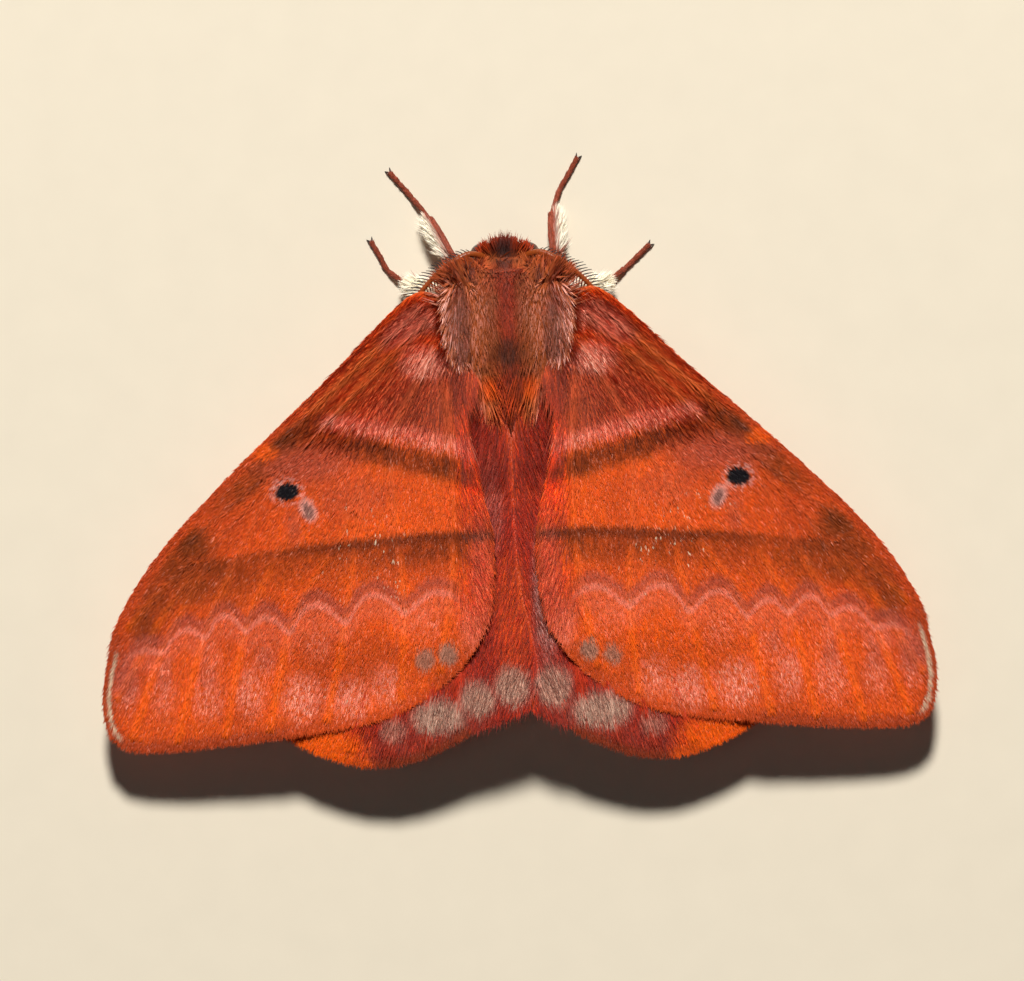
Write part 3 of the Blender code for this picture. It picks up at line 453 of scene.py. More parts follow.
def forewing_markings(colours):
    """The forewing's pattern. Edges: distances to a vein, the front edge and the outer margin."""
    tree, given, result = wing_group("forewing markings")
    place, chance = given["Place"], given["Chance"]
    vein, costa, margin = split(given["Edges"])
    x, y, _ = split(place)
    frayed = (chance - 0.5) * 0.7
    wander = noise(place, 0.45, 3.0) - 0.5
    drift = noise(place, 1.7, 2.0) - 0.5
    across = x.maths("ABSOLUTE") + drift * 0.5
    back = y + frayed + wander * 0.7 + drift * 0.3
    plan = joined(across, back, 0.0)
    grain = noise(place, 3.2, 3.0)
    streak = noise(stretched(place, 2.6, 0.55, 1.0), 1.0, 2.0)
    cloud = noise(place, 0.22, 2.0)

    # Ground colour, duller towards the front edge and the margin.
    colour = tinted(colours.orange, colours.bright, ramp(streak, 0.5, 0.72) * 0.75)
    colour = tinted(colour, colours.rust, ramp(cloud, 0.45, 0.65) * 0.45)
    colour = tinted(colour, colours.rust, ramp(costa, 7.5, 2.0) * 0.6)
    far_out = ramp(across, 16.0, 19.0)
    colour = tinted(colour, colours.rust, ramp(margin, 1.5, 0.7) * (0.6 + far_out * 0.35))
    dark_rim = tuple(part * 0.5 for part in colours.base)
    colour = tinted(colour, dark_rim, ramp(margin, 1.5, 0.5) * far_out * 0.3)

    # Outer part: pale patches between the veins, and bright lines along them.
    outer = ramp(back, -9.5, -11.5)
    patches = spots(plan, (
        (30.4, -16.6, 0.9, 1.5, 0.6), (27.6, -17.0, 1.0, 1.7, 0.5), (24.1, -17.3, 1.2, 1.7, 0.6),
        (20.8, -17.0, 1.1, 1.7, 0.75), (16.8, -17.6, 1.5, 1.6, 1.0), (13.2, -17.7, 1.6, 1.4, 0.95),
        (10.2, -16.8, 1.3, 1.4, 0.75), (19.4, -14.5, 1.0, 1.4, 0.35), (24.0, -14.4, 1.0, 1.2, 0.35),
        (15.4, -13.3, 1.1, 1.2, 0.35), (6.8, -12.3, 1.3, 1.1, 0.3), (27.6, -14.8, 0.9, 1.2, 0.35),
    ), 0.6)
    colour = tinted(colour, colours.pink, patches * ramp(grain, 0.36, 0.6) * 0.85)
    colour = tinted(colour, colours.pale, patches * ramp(chance, 0.72, 0.9) * 0.55)
    colour = tinted(colour, colours.bright, outer * ramp(vein, 0.5, 0.12) * 0.75)
    mauves = spots(plan, (
        (19.6, -14.6, 0.6, 0.9, 0.35), (24.0, -15.7, 0.6, 0.9, 0.4), (30.4, -15.6, 0.9, 1.6, 0.6),
        (27.4, -16.0, 0.6, 0.9, 0.35),
    ), 0.5)
    colour = tinted(colour, colours.mauve, mauves)

    # Dark line across the middle, with combed shading below it.
    line = -5.1 - across * 0.02 - across * across * 0.0022
    below = line - (y + wander * 0.35 + frayed * 0.35 + drift * 0.2)
    comb = 0.3 + ramp(streak, 0.35, 0.62) * 0.35 + ramp(across, 10.0, 7.0) * 0.15
    comb = ramp(below, 3.6, 1.2) * comb
    comb = comb + ramp(across, 8.0, 13.0) * ramp(below, 5.4, 3.0) * 0.12
    comb = comb * ramp(below, -0.15, 0.2) * ramp(across, 25.5, 23.5)
    comb = comb * ramp(across, 2.4, 5.0) * (1.0 - ramp(across, 10.0, 16.0) * 0.35)
    colour = tinted(colour, colours.band, comb)
    thin_line = band(below, -0.05, 0.7, 0.4) * ramp(across, 24.0, 12.0) * ramp(across, 0.8, 2.2)
    colour = tinted(colour, colours.band, thin_line * 0.75)
    colour = tinted(colour, colours.bright, ramp(vein, 0.4, 0.1) * band(below, 1.2, 5.0, 0.6) * 0.4)

    # Scalloped arcs: a mauve shade above each pink line.
    arcs = plan_line(across, (
        (3.4, -11.4), (6.0, -9.7), (8.6, -11.3), (11.2, -9.75), (13.2, -11.9), (15.6, -10.4),
        (17.6, -12.5), (19.3, -11.2), (20.9, -12.3), (22.5, -11.0), (24.1, -12.6), (25.7, -12.0),
        (27.4, -13.7), (29.4, -13.6), (31.0, -15.4),
    ), cusps=(2, 4, 6, 8, 10, 12))
    above = (y + frayed * 0.3 + drift * 0.25) - arcs
    reach = ramp(across, 3.6, 5.5) * ramp(across, 31.0, 29.0)
    colour = tinted(colour, colours.mauve, band(above, 0.15, 1.1, 0.45) * reach * 0.65)
    colour = tinted(colour, colours.pink, band(above, -0.42, 0.12, 0.2) * reach * 0.8)
    colour = tinted(colour, colours.pink, band(above, -1.8, -0.4, 0.5) * reach * 0.2)

    # Front shade, its dark patches and the streaks near the tip.
    olives = band(costa, 0.6, 2.3, 0.5) * ramp(back, -4.0, -1.5) * ramp(back, 5.0, 3.4)
    colour = tinted(colour, colours.olive, olives * (0.4 + ramp(streak, 0.4, 0.6) * 0.25))
    patches = spots(plan, (
        (25.0, -5.6, 1.6, 1.3, 1.0), (26.0, -7.4, 1.8, 1.5, 0.75), (25.2, -9.0, 1.6, 1.1, 0.65),
        (27.6, -9.7, 1.5, 1.6, 0.6), (28.8, -11.4, 1.1, 1.4, 0.7), (23.4, -7.4, 1.6, 0.8, 0.6),
        (22.6, -8.8, 2.4, 1.5, 0.3),
    ), 0.7)
    colour = tinted(colour, colours.olive, patches * ramp(costa, 0.5, 1.0) * 0.85)
    dark = tuple(part * 0.6 for part in colours.olive)
    colour = tinted(colour, dark, patches * ramp(streak, 0.48, 0.62) * 0.3)
    colour = tinted(colour, colours.mauve, spot(plan, (29.0, -13.2), (1.4, 0.5), 0.5, -30) * 0.5)

    # The wing's base, from the body to the dark band.
    pink_line = plan_line(across, (
        (0.0, 1.6), (2.6, 1.9), (5.3, 2.1), (8.4, 2.9), (11.3, 3.5), (14.8, 4.2), (20.0, 5.4),
    ))
    above = back - pink_line
    near_front = ramp(costa, 4.6, 2.4)
    ground = tinted(colours.base, colours.rust, ramp(streak, 0.5, 0.75) * 0.3)
    front_brown = tuple(part * 2.4 for part in colours.olive)
    ground = tinted(ground, front_brown, near_front * 0.75)
    ground = shaded(ground, 1.0 + wander * 0.4 + ramp(across, 6.0, 12.0) * 0.25)
    colour = tinted(colour, ground, ramp(above, -0.3, 0.5))
    dark_red = tuple(part * 0.75 for part in colours.base)
    colour = tinted(colour, dark_red, band(above, 0.9, 2.6, 0.7) * ramp(costa, 1.5, 3.0) * 0.15)
    colour = tinted(colour, colours.orange, spot(plan, (6.9, 9.2), (2.6, 0.9), 0.5, -12) * 0.75)
    colour = tinted(colour, colours.mauve, spot(plan, (7.4, 10.9), (2.6, 1.3), 0.4, -35) * 0.7)
    colour = tinted(colour, colours.pink, spot(plan, (7.7, 10.4), (1.8, 0.9), 0.6, -35) * 0.6)
    pale = spots(plan, ((6.4, 7.9, 1.5, 1.0, 1.0), (5.6, 10.9, 0.5, 0.8, 0.6)), 0.6)
    colour = tinted(colour, colours.pink, pale * 0.8)
    colour = tinted(colour, colours.pale, pale * ramp(chance, 0.3, 0.7) * 0.85)
    # Beside the body the wing is lightened: partly its own brighter orange, partly painted light over the
    # shade where the wing slopes down to the body.
    near_body_light = spot(plan, (2.9, 1.4), (1.4, 4.2), 0.6)
    colour = tinted(colour, colours.bright, near_body_light * (0.1 + ramp(chance, 0.3, 0.7) * 0.3))
    colour = shaded(colour, 1.0 + near_body_light * 0.4)
    strength = band(above, -0.9, 0.3, 0.4) * ramp(across, 16.2, 14.5) * ramp(costa, 1.6, 2.4)
    strength = strength * (0.5 + ramp(chance, 0.25, 0.6) * 0.45)
    colour = tinted(colour, colours.pink, strength)
    colour = tinted(colour, colours.pale, strength * ramp(chance, 0.6, 0.85) * 0.5)

    # Dark band below the pink one, and the patch where it meets the front edge.
    dark_line = plan_line(across, (
        (0.0, -0.9), (1.8, -0.6), (3.7, -0.1), (6.8, 0.4), (10.4, 1.3), (14.3, 2.2), (20.0, 3.2),
    ))
    offset = back - dark_line
    mask = band(offset, -1.15, 0.7, 0.5) * ramp(across, 19.0, 17.5)
    mask = mask * (1.0 - ramp(across, 10.0, 15.0) * 0.48)
    mask = mask * (0.35 + ramp(across, 2.8, 4.6) * 0.65)
    colour = tinted(colour, colours.band, mask * (0.6 + ramp(streak, 0.4, 0.6) * 0.3))
    darker = spots(plan, (
        (12.3, 1.9, 1.9, 0.6, 0.2), (5.4, -0.7, 0.9, 0.7, 0.4),
        (18.2, 2.6, 1.5, 1.1, 0.75), (16.4, 3.4, 1.4, 0.9, 0.1),
    ), 0.6)
    colour = tinted(colour, dark, darker * ramp(costa, 0.4, 0.9))
    gold = band(across - 4.1, -0.12, 0.12, 0.08) * band(back, -2.2, 0.6, 0.5)
    colour = tinted(colour, colours.bright, gold * 0.8)

    # Spots on the cross vein and near the inner corner.
    red_haze = spots(plan, (
        (15.6, 0.2, 3.4, 1.3, 0.6), (12.4, -2.0, 2.6, 1.7, 0.3), (16.9, -4.4, 0.6, 1.3, 0.4),
    ), 0.7)
    colour = tinted(colour, colours.mauve, red_haze)
    steady = joined(x.maths("ABSOLUTE"), y + frayed * 0.4, 0.0)
    ring = spot(steady, (17.35, -1.7), (1.35, 1.05), 0.2)
    colour = tinted(colour, colours.lilac, ring * ramp(grain, 0.42, 0.58) * 0.5)
    colour = tinted(colour, colours.black, spot(steady, (17.3, -1.75), (0.9, 0.66), 0.15, -8))
    small = spot(steady, (15.75, -3.2), (0.62, 0.95), 0.35, -25)
    colour = tinted(colour, colours.lilac, small * 0.65)
    colour = tinted(colour, colours.black, spot(steady, (15.75, -3.25), (0.34, 0.6), 0.4, -25) * 0.6)
    greys = spots(plan, ((5.4, -14.6, 0.75, 0.8, 0.85), (7.2, -15.0, 0.75, 0.8, 0.75)), 0.3)
    colour = tinted(colour, colours.grey, greys)
    inner = spots(plan, ((2.6, -9.0, 0.8, 5.0, 0.4), (3.5, -12.6, 0.9, 1.8, 0.5)), 0.5)
    colour = tinted(colour, colours.pink, inner * (0.5 + ramp(chance, 0.4, 0.7) * 0.5))

    # The thin front edge, and the pale line inside the margin near the tip.
    edge = ramp(costa, 0.7, 0.3) * ramp(back, -13.5, -11.0)
    colour = tinted(colour, colours.rust, edge * 0.8)
    colour = tinted(colour, colours.bright, edge * ramp(back, 9.0, 11.5) * 0.5)
    spot_at_front = spot(plan, (18.9, 1.3), (0.9, 0.6), 0.5)
    colour = tinted(colour, colours.bright, spot_at_front * 0.8)
    pale_line = band(margin, 0.66, 0.94, 0.1) * ramp(across, 30.6, 31.2) * ramp(back, -13.2, -14.5)
    colour = tinted(colour, colours.cream, pale_line * 0.75)

    # Rubbed flecks of cream, longer along the wing than across it.
    flecks = noise(stretched(place, 5.5, 2.2, 1.0), 1.0, 1.0)
    worn = spots(plan, (
        (10.8, -6.4, 2.2, 2.6, 1.0), (9.2, -9.2, 1.4, 1.6, 1.0), (13.3, -7.6, 1.6, 2.4, 1.0),
        (15.0, -17.6, 3.6, 1.6, 0.7), (14.0, -4.4, 2.6, 1.6, 0.8),
    ), 0.7)
    colour = tinted(colour, colours.cream, ramp(flecks, 0.7, 0.74) * worn * 0.9)

    # Painted glints: a few scales, picked at random, are made paler as if they catch the light.
    painted_glints = ramp(chance, 0.93, 0.97) * ramp(grain, 0.45, 0.6) * ramp(back, 3.0, 0.0)
    colour = tinted(colour, colours.pale, painted_glints * 0.25)
    feed(tree, result, shaded(colour, 0.8 + grain * 0.4))
    return tree


def hindwing_markings(colours):
    """The hindwing's pattern: red, with grey hair patches and a bright outer corner."""
    tree, given, result = wing_group("hindwing markings")
    place, chance = given["Place"], given["Chance"]
    margin = split(given["Edges"])[2]
    x, y, _ = split(place)
    drift = noise(place, 1.4, 2.0) - 0.5
    across = x + drift * 0.5
    back = y + (chance - 0.5) * 0.9 + drift * 0.6
    plan = joined(across, back, 0.0)
    mirrored = joined(across.maths("ABSOLUTE"), back, 0.0)
    streak = noise(stretched(place, 2.4, 0.5, 1.0), 1.0, 2.0)
    grain = noise(place, 3.2, 3.0)

    colour = tinted(colours.red, colours.rust, ramp(streak, 0.52, 0.72) * 0.5)
    strip = spot(plan, (-0.4, -12.0), (1.3, 4.6), 0.6)
    colour = tinted(colour, colours.orange, strip * 0.75)
    # Painted light on the front strip beside the body: a lighter orange over the shade that the forewings
    # and the thorax throw there, on top of the strip's own orange-red.
    front = ramp(back, -5.0, -1.0) * ramp(across.maths("ABSOLUTE"), 3.8, 2.0)
    colour = tinted(colour, colours.orange, front * 0.4)
    side = spots(plan, ((2.2, -10.0, 0.9, 4.6, 1.0), (-1.6, -3.0, 0.8, 3.6, 0.3)), 0.5)
    colour = tinted(colour, colours.mauve, side)
    colour = tinted(colour, colours.lilac, side * ramp(chance, 0.35, 0.65) * 0.8)
    greys = spots(plan, (
        (-0.5, -17.2, 1.4, 1.5, 0.95), (-3.2, -18.1, 1.4, 1.4, 0.95), (-6.3, -19.4, 2.1, 1.3, 1.0),
        (-9.8, -20.3, 1.1, 0.9, 0.55), (2.6, -17.3, 1.4, 1.6, 0.9), (6.2, -19.2, 2.3, 1.35, 1.0),
        (10.2, -20.4, 1.1, 0.8, 0.5),
    ), 0.3)
    greyish = zip(colours.grey, colours.cream, colours.lilac)
    light_grey = tuple(sum(parts) / 3 for parts in greyish)
    colour = tinted(colour, light_grey, greys * (0.62 + ramp(chance, 0.2, 0.6) * 0.35))
    mauve = band(margin, 1.0, 2.4, 0.4) * ramp(back, -17.0, -19.0) * (1.0 - greys)
    colour = tinted(colour, colours.mauve, mauve * 0.3)
    corner = spots(mirrored, ((15.7, -21.6, 3.8, 1.6, 1.0), (13.2, -22.9, 1.8, 1.0, 0.8)), 0.35)
    colour = tinted(colour, colours.bright, corner)
    rim = ramp(margin, 1.4, 0.5) * (1.0 - corner)
    dark_rim = tuple(part * 0.42 for part in colours.base)
    colour = tinted(colour, dark_rim, rim * 0.85)
    feed(tree, result, shaded(colour, 0.8 + grain * 0.4))
    return tree


def underside_markings(colours):
    """The wings' undersides: a plain rusty orange with one faint line across."""
    tree, given, result = wing_group("underside markings")
    place, chance = given["Place"], given["Chance"]
    vein, _, margin = split(given["Edges"])
    x, y, _ = split(place)
    across = x.maths("ABSOLUTE")
    back = y + (chance - 0.5) * 0.8
    streak = noise(stretched(place, 2.4, 0.6, 1.0), 1.0, 2.0)
    colour = tinted(colours.rust, colours.orange, ramp(streak, 0.45, 0.65) * 0.6)
    line = -7.0 - across * 0.05
    colour = tinted(colour, colours.band, band(back - line, -0.5, 0.5, 0.3) * 0.6)
    colour = tinted(colour, colours.mauve, ramp(margin, 2.6, 1.2) * 0.35)
    colour = tinted(colour, colours.bright, ramp(vein, 0.4, 0.1) * 0.4)
    colour = tinted(colour, colours.base, ramp(back, 2.0, 8.0) * 0.5)
    feed(tree, result, shaded(colour, 0.82 + noise(place, 3.0, 2.0) * 0.36))
    return tree


def body_markings(colours):
    """The body's pattern. Along runs from a hair's root to its tip, and Pale marks the brushes."""
    inputs = {"Place": "Vector", **dict.fromkeys(("Pale", "Limb", "Chance", "Along"), "Float")}
    tree, given, result = new_group("body markings", "ShaderNodeTree", inputs, {"Colour": "Color"})
    place, chance, along = given["Place"], given["Chance"], given["Along"]
    x, y, z = split(place)
    drift = noise(place, 1.1, 2.0) - 0.5
    across = x + drift * 0.7
    back = y + drift * 0.8
    side = across.maths("ABSOLUTE")
    plan = joined(across, back, 0.0)
    mirrored = joined(side, back, 0.0)
    cloud = noise(place, 0.7, 2.0)

    # Thorax: brown with lilac tips in two lobes, a rust strip between them and a rust patch behind.
    # A lighter brown, for the painted light on the thorax's flanks.
    flank_light_colour = tuple(0.6 * one + 0.7 * two for one, two in zip(colours.brown, colours.grey))
    colour = tinted(colours.brown, colours.base, ramp(cloud, 0.42, 0.6) * 0.4)
    colour = tinted(colour, colours.rust, ramp(side, 1.0, 0.3) * 0.3)
    lobes = spots(mirrored, ((3.9, 9.8, 2.2, 4.2, 1.0), (2.4, 11.4, 1.6, 2.4, 0.9)), 0.5)
    deeper = tuple(part * 0.72 for part in colours.brown)
    colour = tinted(colour, deeper, spot(mirrored, (2.1, 10.2), (1.3, 3.4), 0.5) * 0.6)
    # Painted light on the thorax's outer flanks: their hair is a little paler in itself, and is lightened
    # more to lift the shade where the flanks slope away from the lamp.
    painted_flank_light = spot(mirrored, (4.6, 9.2), (1.3, 4.2), 0.5) * ramp(chance, 0.1, 0.4)
    colour = tinted(colour, flank_light_colour, painted_flank_light * 0.7)
    tips = lobes * ramp(chance, 0.6, 0.72) * ramp(along, 0.2, 0.6)
    colour = tinted(colour, colours.lilac, tips * (0.25 + ramp(side, 2.8, 4.0) * 0.4))
    dark = tuple(part * 0.35 for part in colours.brown)
    strip = ramp(side, 1.0, 0.3) * ramp(back, 8.0, 9.5) * ramp(back, 14.6, 13.4)
    colour = tinted(colour, colours.rust, strip * 0.6)
    tuft = spot(plan, (-0.1, 8.5), (1.25, 0.95), 0.5)
    colour = tinted(colour, dark, tuft * 0.6)
    patch = spots(plan, ((0.0, 5.9, 1.9, 1.0, 1.0), (0.0, 4.6, 1.2, 1.5, 1.0)), 0.4)
    colour = tinted(colour, colours.rust, patch * 0.85)
    corners = spot(mirrored, (1.75, 5.9), (0.6, 0.8), 0.5)
    colour = tinted(colour, colours.bright, corners * 0.45)
    veil = ramp(side, 1.6, 2.3) * ramp(back, 6.6, 5.0)
    colour = tinted(colour, colours.mauve, veil * 0.4)
    colour = tinted(colour, colours.lilac, veil * ramp(chance, 0.55, 0.75) * ramp(along, 0.2, 0.7) * 0.15)
    lower = ramp(back, 3.4, 2.0)
    colour = tinted(colour, colours.mauve, lower * 0.6)
    colour = tinted(colour, colours.bright, spot(plan, (0.0, 1.5), (0.75, 1.0), 0.4) * 0.8)

    # Front rim and head: orange brown and deep red, with a dark middle.
    rim = ramp(back + side * 0.75, 16.3, 17.3)
    fiery = tinted(colours.rust, colours.olive, 0.9 - ramp(chance, 0.4, 0.9) * 0.5)
    fiery = tinted(fiery, colours.band, ramp(chance, 0.0, 0.6) * 0.45)
    colour = tinted(colour, fiery, rim * ramp(back, 11.8, 12.8) * 0.9)
    deep = tuple(part * gain for part, gain in zip(colours.band, (1.5, 0.8, 0.5)))
    colour = tinted(colour, deep, ramp(y - side * 0.1, 15.5, 16.1) * 0.85)
    darkest = tuple(part * 0.3 for part in colours.band)
    colour = tinted(colour, darkest, spot(plan, (-0.1, 15.8), (0.9, 0.7), 0.6) * 0.7)

    # Abdomen, and the pinkish underside.
    abdomen = ramp(back, 2.2, 1.0) * ramp(z, 7.4, 6.8)
    rusty = tinted(colours.rust, colours.base, ramp(side, 0.6, 2.2) * 0.5)
    colour = tinted(colour, rusty, abdomen * 0.8)
    colour = tinted(colour, colours.mauve, ramp(z, 4.4, 3.0) * 0.45)

    # Legs, their pale brushes and the dark ends of the feet.
    limb = given["Limb"]
    leg = tinted(colours.leg, colours.mauve, ramp(chance, 0.5, 0.9) * 0.35)
    colour = tinted(colour, leg, limb)
    colour = tinted(colour, colours.brush, given["Pale"])
    # Painted shade: each hair is darker at its root, where the coat shades it, and lighter at its tip.
    feed(tree, result, shaded(colour, 0.8 + along * 0.4))
    return tree


# Makes up for the shade that tufts throw on each other.
COAT_LIFT = 1.1


def tuft_tint():
    """Makes one tuft lighter or darker than the next, and darker at its root."""
    numbers = ("Chance", "Along", "Spread", "Root Shade")
    inputs = {"Base": "Color", **dict.fromkeys(numbers, "Float")}
    tree, given, result = new_group("tuft tint", "ShaderNodeTree", inputs, {"Colour": "Color"})
    lightness = 1.0 + (given["Chance"] - 0.5) * given["Spread"]
    root = 1.0 - (1.0 - given["Along"]) * given["Root Shade"]
    feed(tree, result, shaded(given["Base"], lightness * root * COAT_LIFT))
    return tree


def attribute(tree, name, number=False):
    """A mesh's own attribute, as a vector or as a number."""
    node = add(tree, "ShaderNodeAttribute", attribute_name=name)
    return Field(tree, node.outputs["Fac" if number else "Vector"])


def own_place(tree):
    """A surface's place in millimetres in the source's frame, from its object's coordinates."""
    coordinates = tree.nodes.new("ShaderNodeTexCoord")
    inputs = {0: coordinates.outputs["Object"], 1: (1 / MM,) * 3, 2: (0.0, -SHIFT_Y, 0.0)}
    node = add(tree, "ShaderNodeVectorMath", inputs, operation="MULTIPLY_ADD")
    return Field(tree, node.outputs[0])


def half_way(here, root, share):
    """A place between a tuft's own surface and its root."""
    node = add(here.tree, "ShaderNodeMix", {0: share, 4: here, 5: root}, data_type="VECTOR")
    return Field(here.tree, node.outputs[1])


def use_group(tree, group, inputs):
    """A group placed in a material, with its inputs fed."""
    node = tree.nodes.new("ShaderNodeGroup")
    node.node_tree = bpy.data.node_groups[group]
    for name, value in inputs.items():
        feed(tree, node.inputs[name], value)
    return Field(tree, node.outputs["Colour"])


def marked(tree, markings, place, chance, along):
    """A pattern's colour, from the attributes that a wing's or the body's mesh carries."""
    inputs = {"Place": place, "Chance": chance}
    if markings == "body markings":
        inputs["Pale"] = attribute(tree, "pale", number=True)
        inputs["Limb"] = attribute(tree, "limb", number=True)
        inputs["Along"] = along
    else:
        inputs["Edges"] = attribute(tree, "edges")
    return use_group(tree, markings, inputs)


def new_material(name, roughness, **shader_values):
    """A material with its own Principled shader, and that shader's node."""
    made = bpy.data.materials.new(name)
    made.use_nodes = True
    shader = made.node_tree.nodes["Principled BSDF"]
    shader.inputs["Roughness"].default_value = roughness
    for word, value in shader_values.items():
        shader.inputs[word.replace("_", " ")].default_value = value
    return made, made.node_tree, shader


def bumped(tree, shader, height, strength, distance):
    """Feeds a height field to the shader as a bump."""
    inputs = {"Height": height, "Strength": strength, "Distance": distance * MM}
    node = add(tree, "ShaderNodeBump", inputs)
    tree.links.new(node.outputs["Normal"], shader.inputs["Normal"])


def coat_material(name, markings, hold=0.5, spread=0.5, root_shade=0.3, roughness=0.5):
    """Scales or hairs that carry a pattern. Hold is how much of it is taken from their roots."""
    made, tree, shader = new_material(name, roughness, Sheen_Weight=0.05, Specular_IOR_Level=0.2)
    place = half_way(own_place(tree), attribute(tree, "root"), hold)
    chance = attribute(tree, "chance", number=True)
    along = split(attribute(tree, "patch"))[1]
    colour = marked(tree, markings, place, chance, along)
    tint = {"Base": colour, "Chance": chance, "Along": along, "Spread": spread}
    tint["Root Shade"] = root_shade
    feed(tree, shader.inputs["Base Color"], use_group(tree, "tuft tint", tint))
    return made


def skin_material(name, markings, grain_scale, strength, chance=0.5):
    """Bare skin under the coat, with the same pattern and a fine scaly bump."""
    made, tree, shader = new_material(name, 0.6, Specular_IOR_Level=0.3)
    place = own_place(tree)
    colour = marked(tree, markings, place, chance, 0.4)
    feed(tree, shader.inputs["Base Color"], shaded(colour, noise(place, grain_scale, 2.0) * 0.5 + 0.65))
    bumped(tree, shader, noise(place, grain_scale, 3.0), strength, 0.1)
    return made


def eye_material(colours):
    """A dark compound eye with fine facets."""
    made, tree, shader = new_material("eye", 0.16, Coat_Weight=0.6)
    place = own_place(tree)
    facets = add(tree, "ShaderNodeTexVoronoi", {"Vector": place, "Scale": 11.0})
    height = Field(tree, facets.outputs["Distance"])
    dark = tuple(part * 0.5 for part in colours.black)
    brown = tuple(part * 0.5 for part in colours.brown)
    feed(tree, shader.inputs["Base Color"], tinted(dark, brown, ramp(noise(place, 1.3), 0.4, 0.7) * 0.6))
    bumped(tree, shader, 1.0 - height, 0.5, 0.05)
    return made


def horn_material(name, root, tip, near, far):
    """Hard parts that turn from one colour to another between two shares of their length."""
    made, tree, shader = new_material(name, 0.35)
    place = own_place(tree)
    share = split(attribute(tree, "patch"))[1]
    colour = tinted(root, tip, ramp(share, near, far))
    feed(tree, shader.inputs["Base Color"], shaded(colour, noise(place, 6.0) * 0.6 + 0.7))
    bumped(tree, shader, noise(place, 14.0, 3.0), 0.3, 0.05)
    return made


def floor_material(colour):
    """The plain pale floor."""
    made, tree, shader = new_material("floor", 0.85, Specular_IOR_Level=0.2)
    coordinates = tree.nodes.new("ShaderNodeTexCoord")
    place = Field(tree, coordinates.outputs["Object"])
    feed(tree, shader.inputs["Base Color"], shaded(tuple(colour), noise(place, 300.0) * 0.05 + 0.97))
    return made


# Meshes.


def place_mesh(mesh):
    """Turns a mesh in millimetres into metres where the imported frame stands."""
    mesh.transform(Matrix.Translation((0.0, SHIFT_Y * MM, 0.0)) @ Matrix.Scale(MM, 4))


def new_object(name, points, faces, attributes=None):
    """A mesh object in millimetres, with attributes on its points."""
    mesh = bpy.data.meshes.new(name)
    mesh.from_pydata([tuple(point) for point in points], [], [tuple(face) for face in faces])
    for word, values in (attributes or {}).items():
        values = np.asarray(values, dtype=np.float32)
        kind, key = ("FLOAT_VECTOR", "vector") if values.ndim > 1 else ("FLOAT", "value")
        made = mesh.attributes.new(word, kind, "POINT")
        made.data.foreach_set(key, values.ravel())
    thing = bpy.data.objects.new(name, mesh)
    bpy.context.scene.collection.objects.link(thing)
    return thing


def outwards(thing):
    """Turns a closed mesh's faces outwards."""
    shape = bmesh.new()
    shape.from_mesh(thing.data)
    bmesh.ops.recalc_face_normals(shape, faces=shape.faces)
    shape.to_mesh(thing.data)
    shape.free()


def points_of(mesh):
    values = np.empty(len(mesh.vertices) * 3, dtype=np.float32)
    mesh.vertices.foreach_get("co", values)
    return values.reshape(-1, 3).astype(float)


def triangles_of(mesh):
    mesh.calc_loop_triangles()
    values = np.empty(len(mesh.loop_triangles) * 3, dtype=np.int32)
    mesh.loop_triangles.foreach_get("vertices", values)
    return values.reshape(-1, 3)


def finish_piece(thing, name, material, slot, replaced=(), smooth=True):
    """Names a piece, gives it its material and its place, and hands it to the frame."""
    thing.name = name
    thing.data.name = name
    thing.data.materials.clear()
    thing.data.materials.append(bpy.data.materials[material])
    thing.data.polygons.foreach_set("use_smooth", [smooth] * len(thing.data.polygons))
    place_mesh(thing.data)
    thing.data.update()
    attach(thing, BODY)
    if replaced:
        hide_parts(*replaced)
    return thing


def smooth_line(points, step):
    """Points about step apart on a smooth curve through the given ones."""
    points = [np.array(p, dtype=float) for p in points]
    line = []
    for i, (start, end) in enumerate(zip(points, points[1:])):
        before = points[i - 1] if i else start * 2 - end
        after = points[i + 2] if i + 2 < len(points) else end * 2 - start
        pieces = max(1, round(float(np.linalg.norm(end - start)) / step))
        for k in range(pieces):
            t = k / pieces
            bend = (2 * before - 5 * start + 4 * end - after) * t**2
            turn = (3 * start - 3 * end + after - before) * t**3
            line.append((2 * start + (end - before) * t + bend + turn) * 0.5)
    line.append(points[-1])
    return np.array(line)


def nearest_on_line(at, line):
    """Distance from each point to a line, with the line's direction and share there."""
    best = np.full(len(at), np.inf)
    way = np.zeros_like(at)
    share = np.zeros(len(at))
    for number, (start, end) in enumerate(zip(line, line[1:])):
        run = end - start
        along = np.clip((at - start) @ run / (run @ run), 0, 1)
        distance = np.linalg.norm(at - start - along[:, None] * run, axis=1)
        closer = distance < best
        best[closer] = distance[closer]
        way[closer] = run / np.linalg.norm(run)
        share[closer] = (number + along[closer]) / (len(line) - 1)
    return best, way, share


def eased(values, start, end):
    """0 at start and 1 at end, with a smooth change between them, for arrays."""
    t = np.clip((values - start) / (end - start), 0, 1)
    return t * t * (3 - 2 * t)


def unit(vectors):
    return vectors / np.maximum(np.linalg.norm(vectors, axis=-1, keepdims=True), 1e-9)


# Wings.


def wing_height(x, y, roll=0.5):
    """Height of the middle of the forewing's solid. x counts outwards from the middle."""
    px, py = x - SHOULDER[0], y - SHOULDER[1]
    along = px * COSTA_DIRECTION[0] + py * COSTA_DIRECTION[1]
    behind = px * COSTA_DIRECTION[1] - py * COSTA_DIRECTION[0]
    rolled = roll * np.exp(-np.maximum(behind, 0.0) / 2.5)
    return WING_BASE_Z - 0.08 * along + 0.05 * behind - rolled


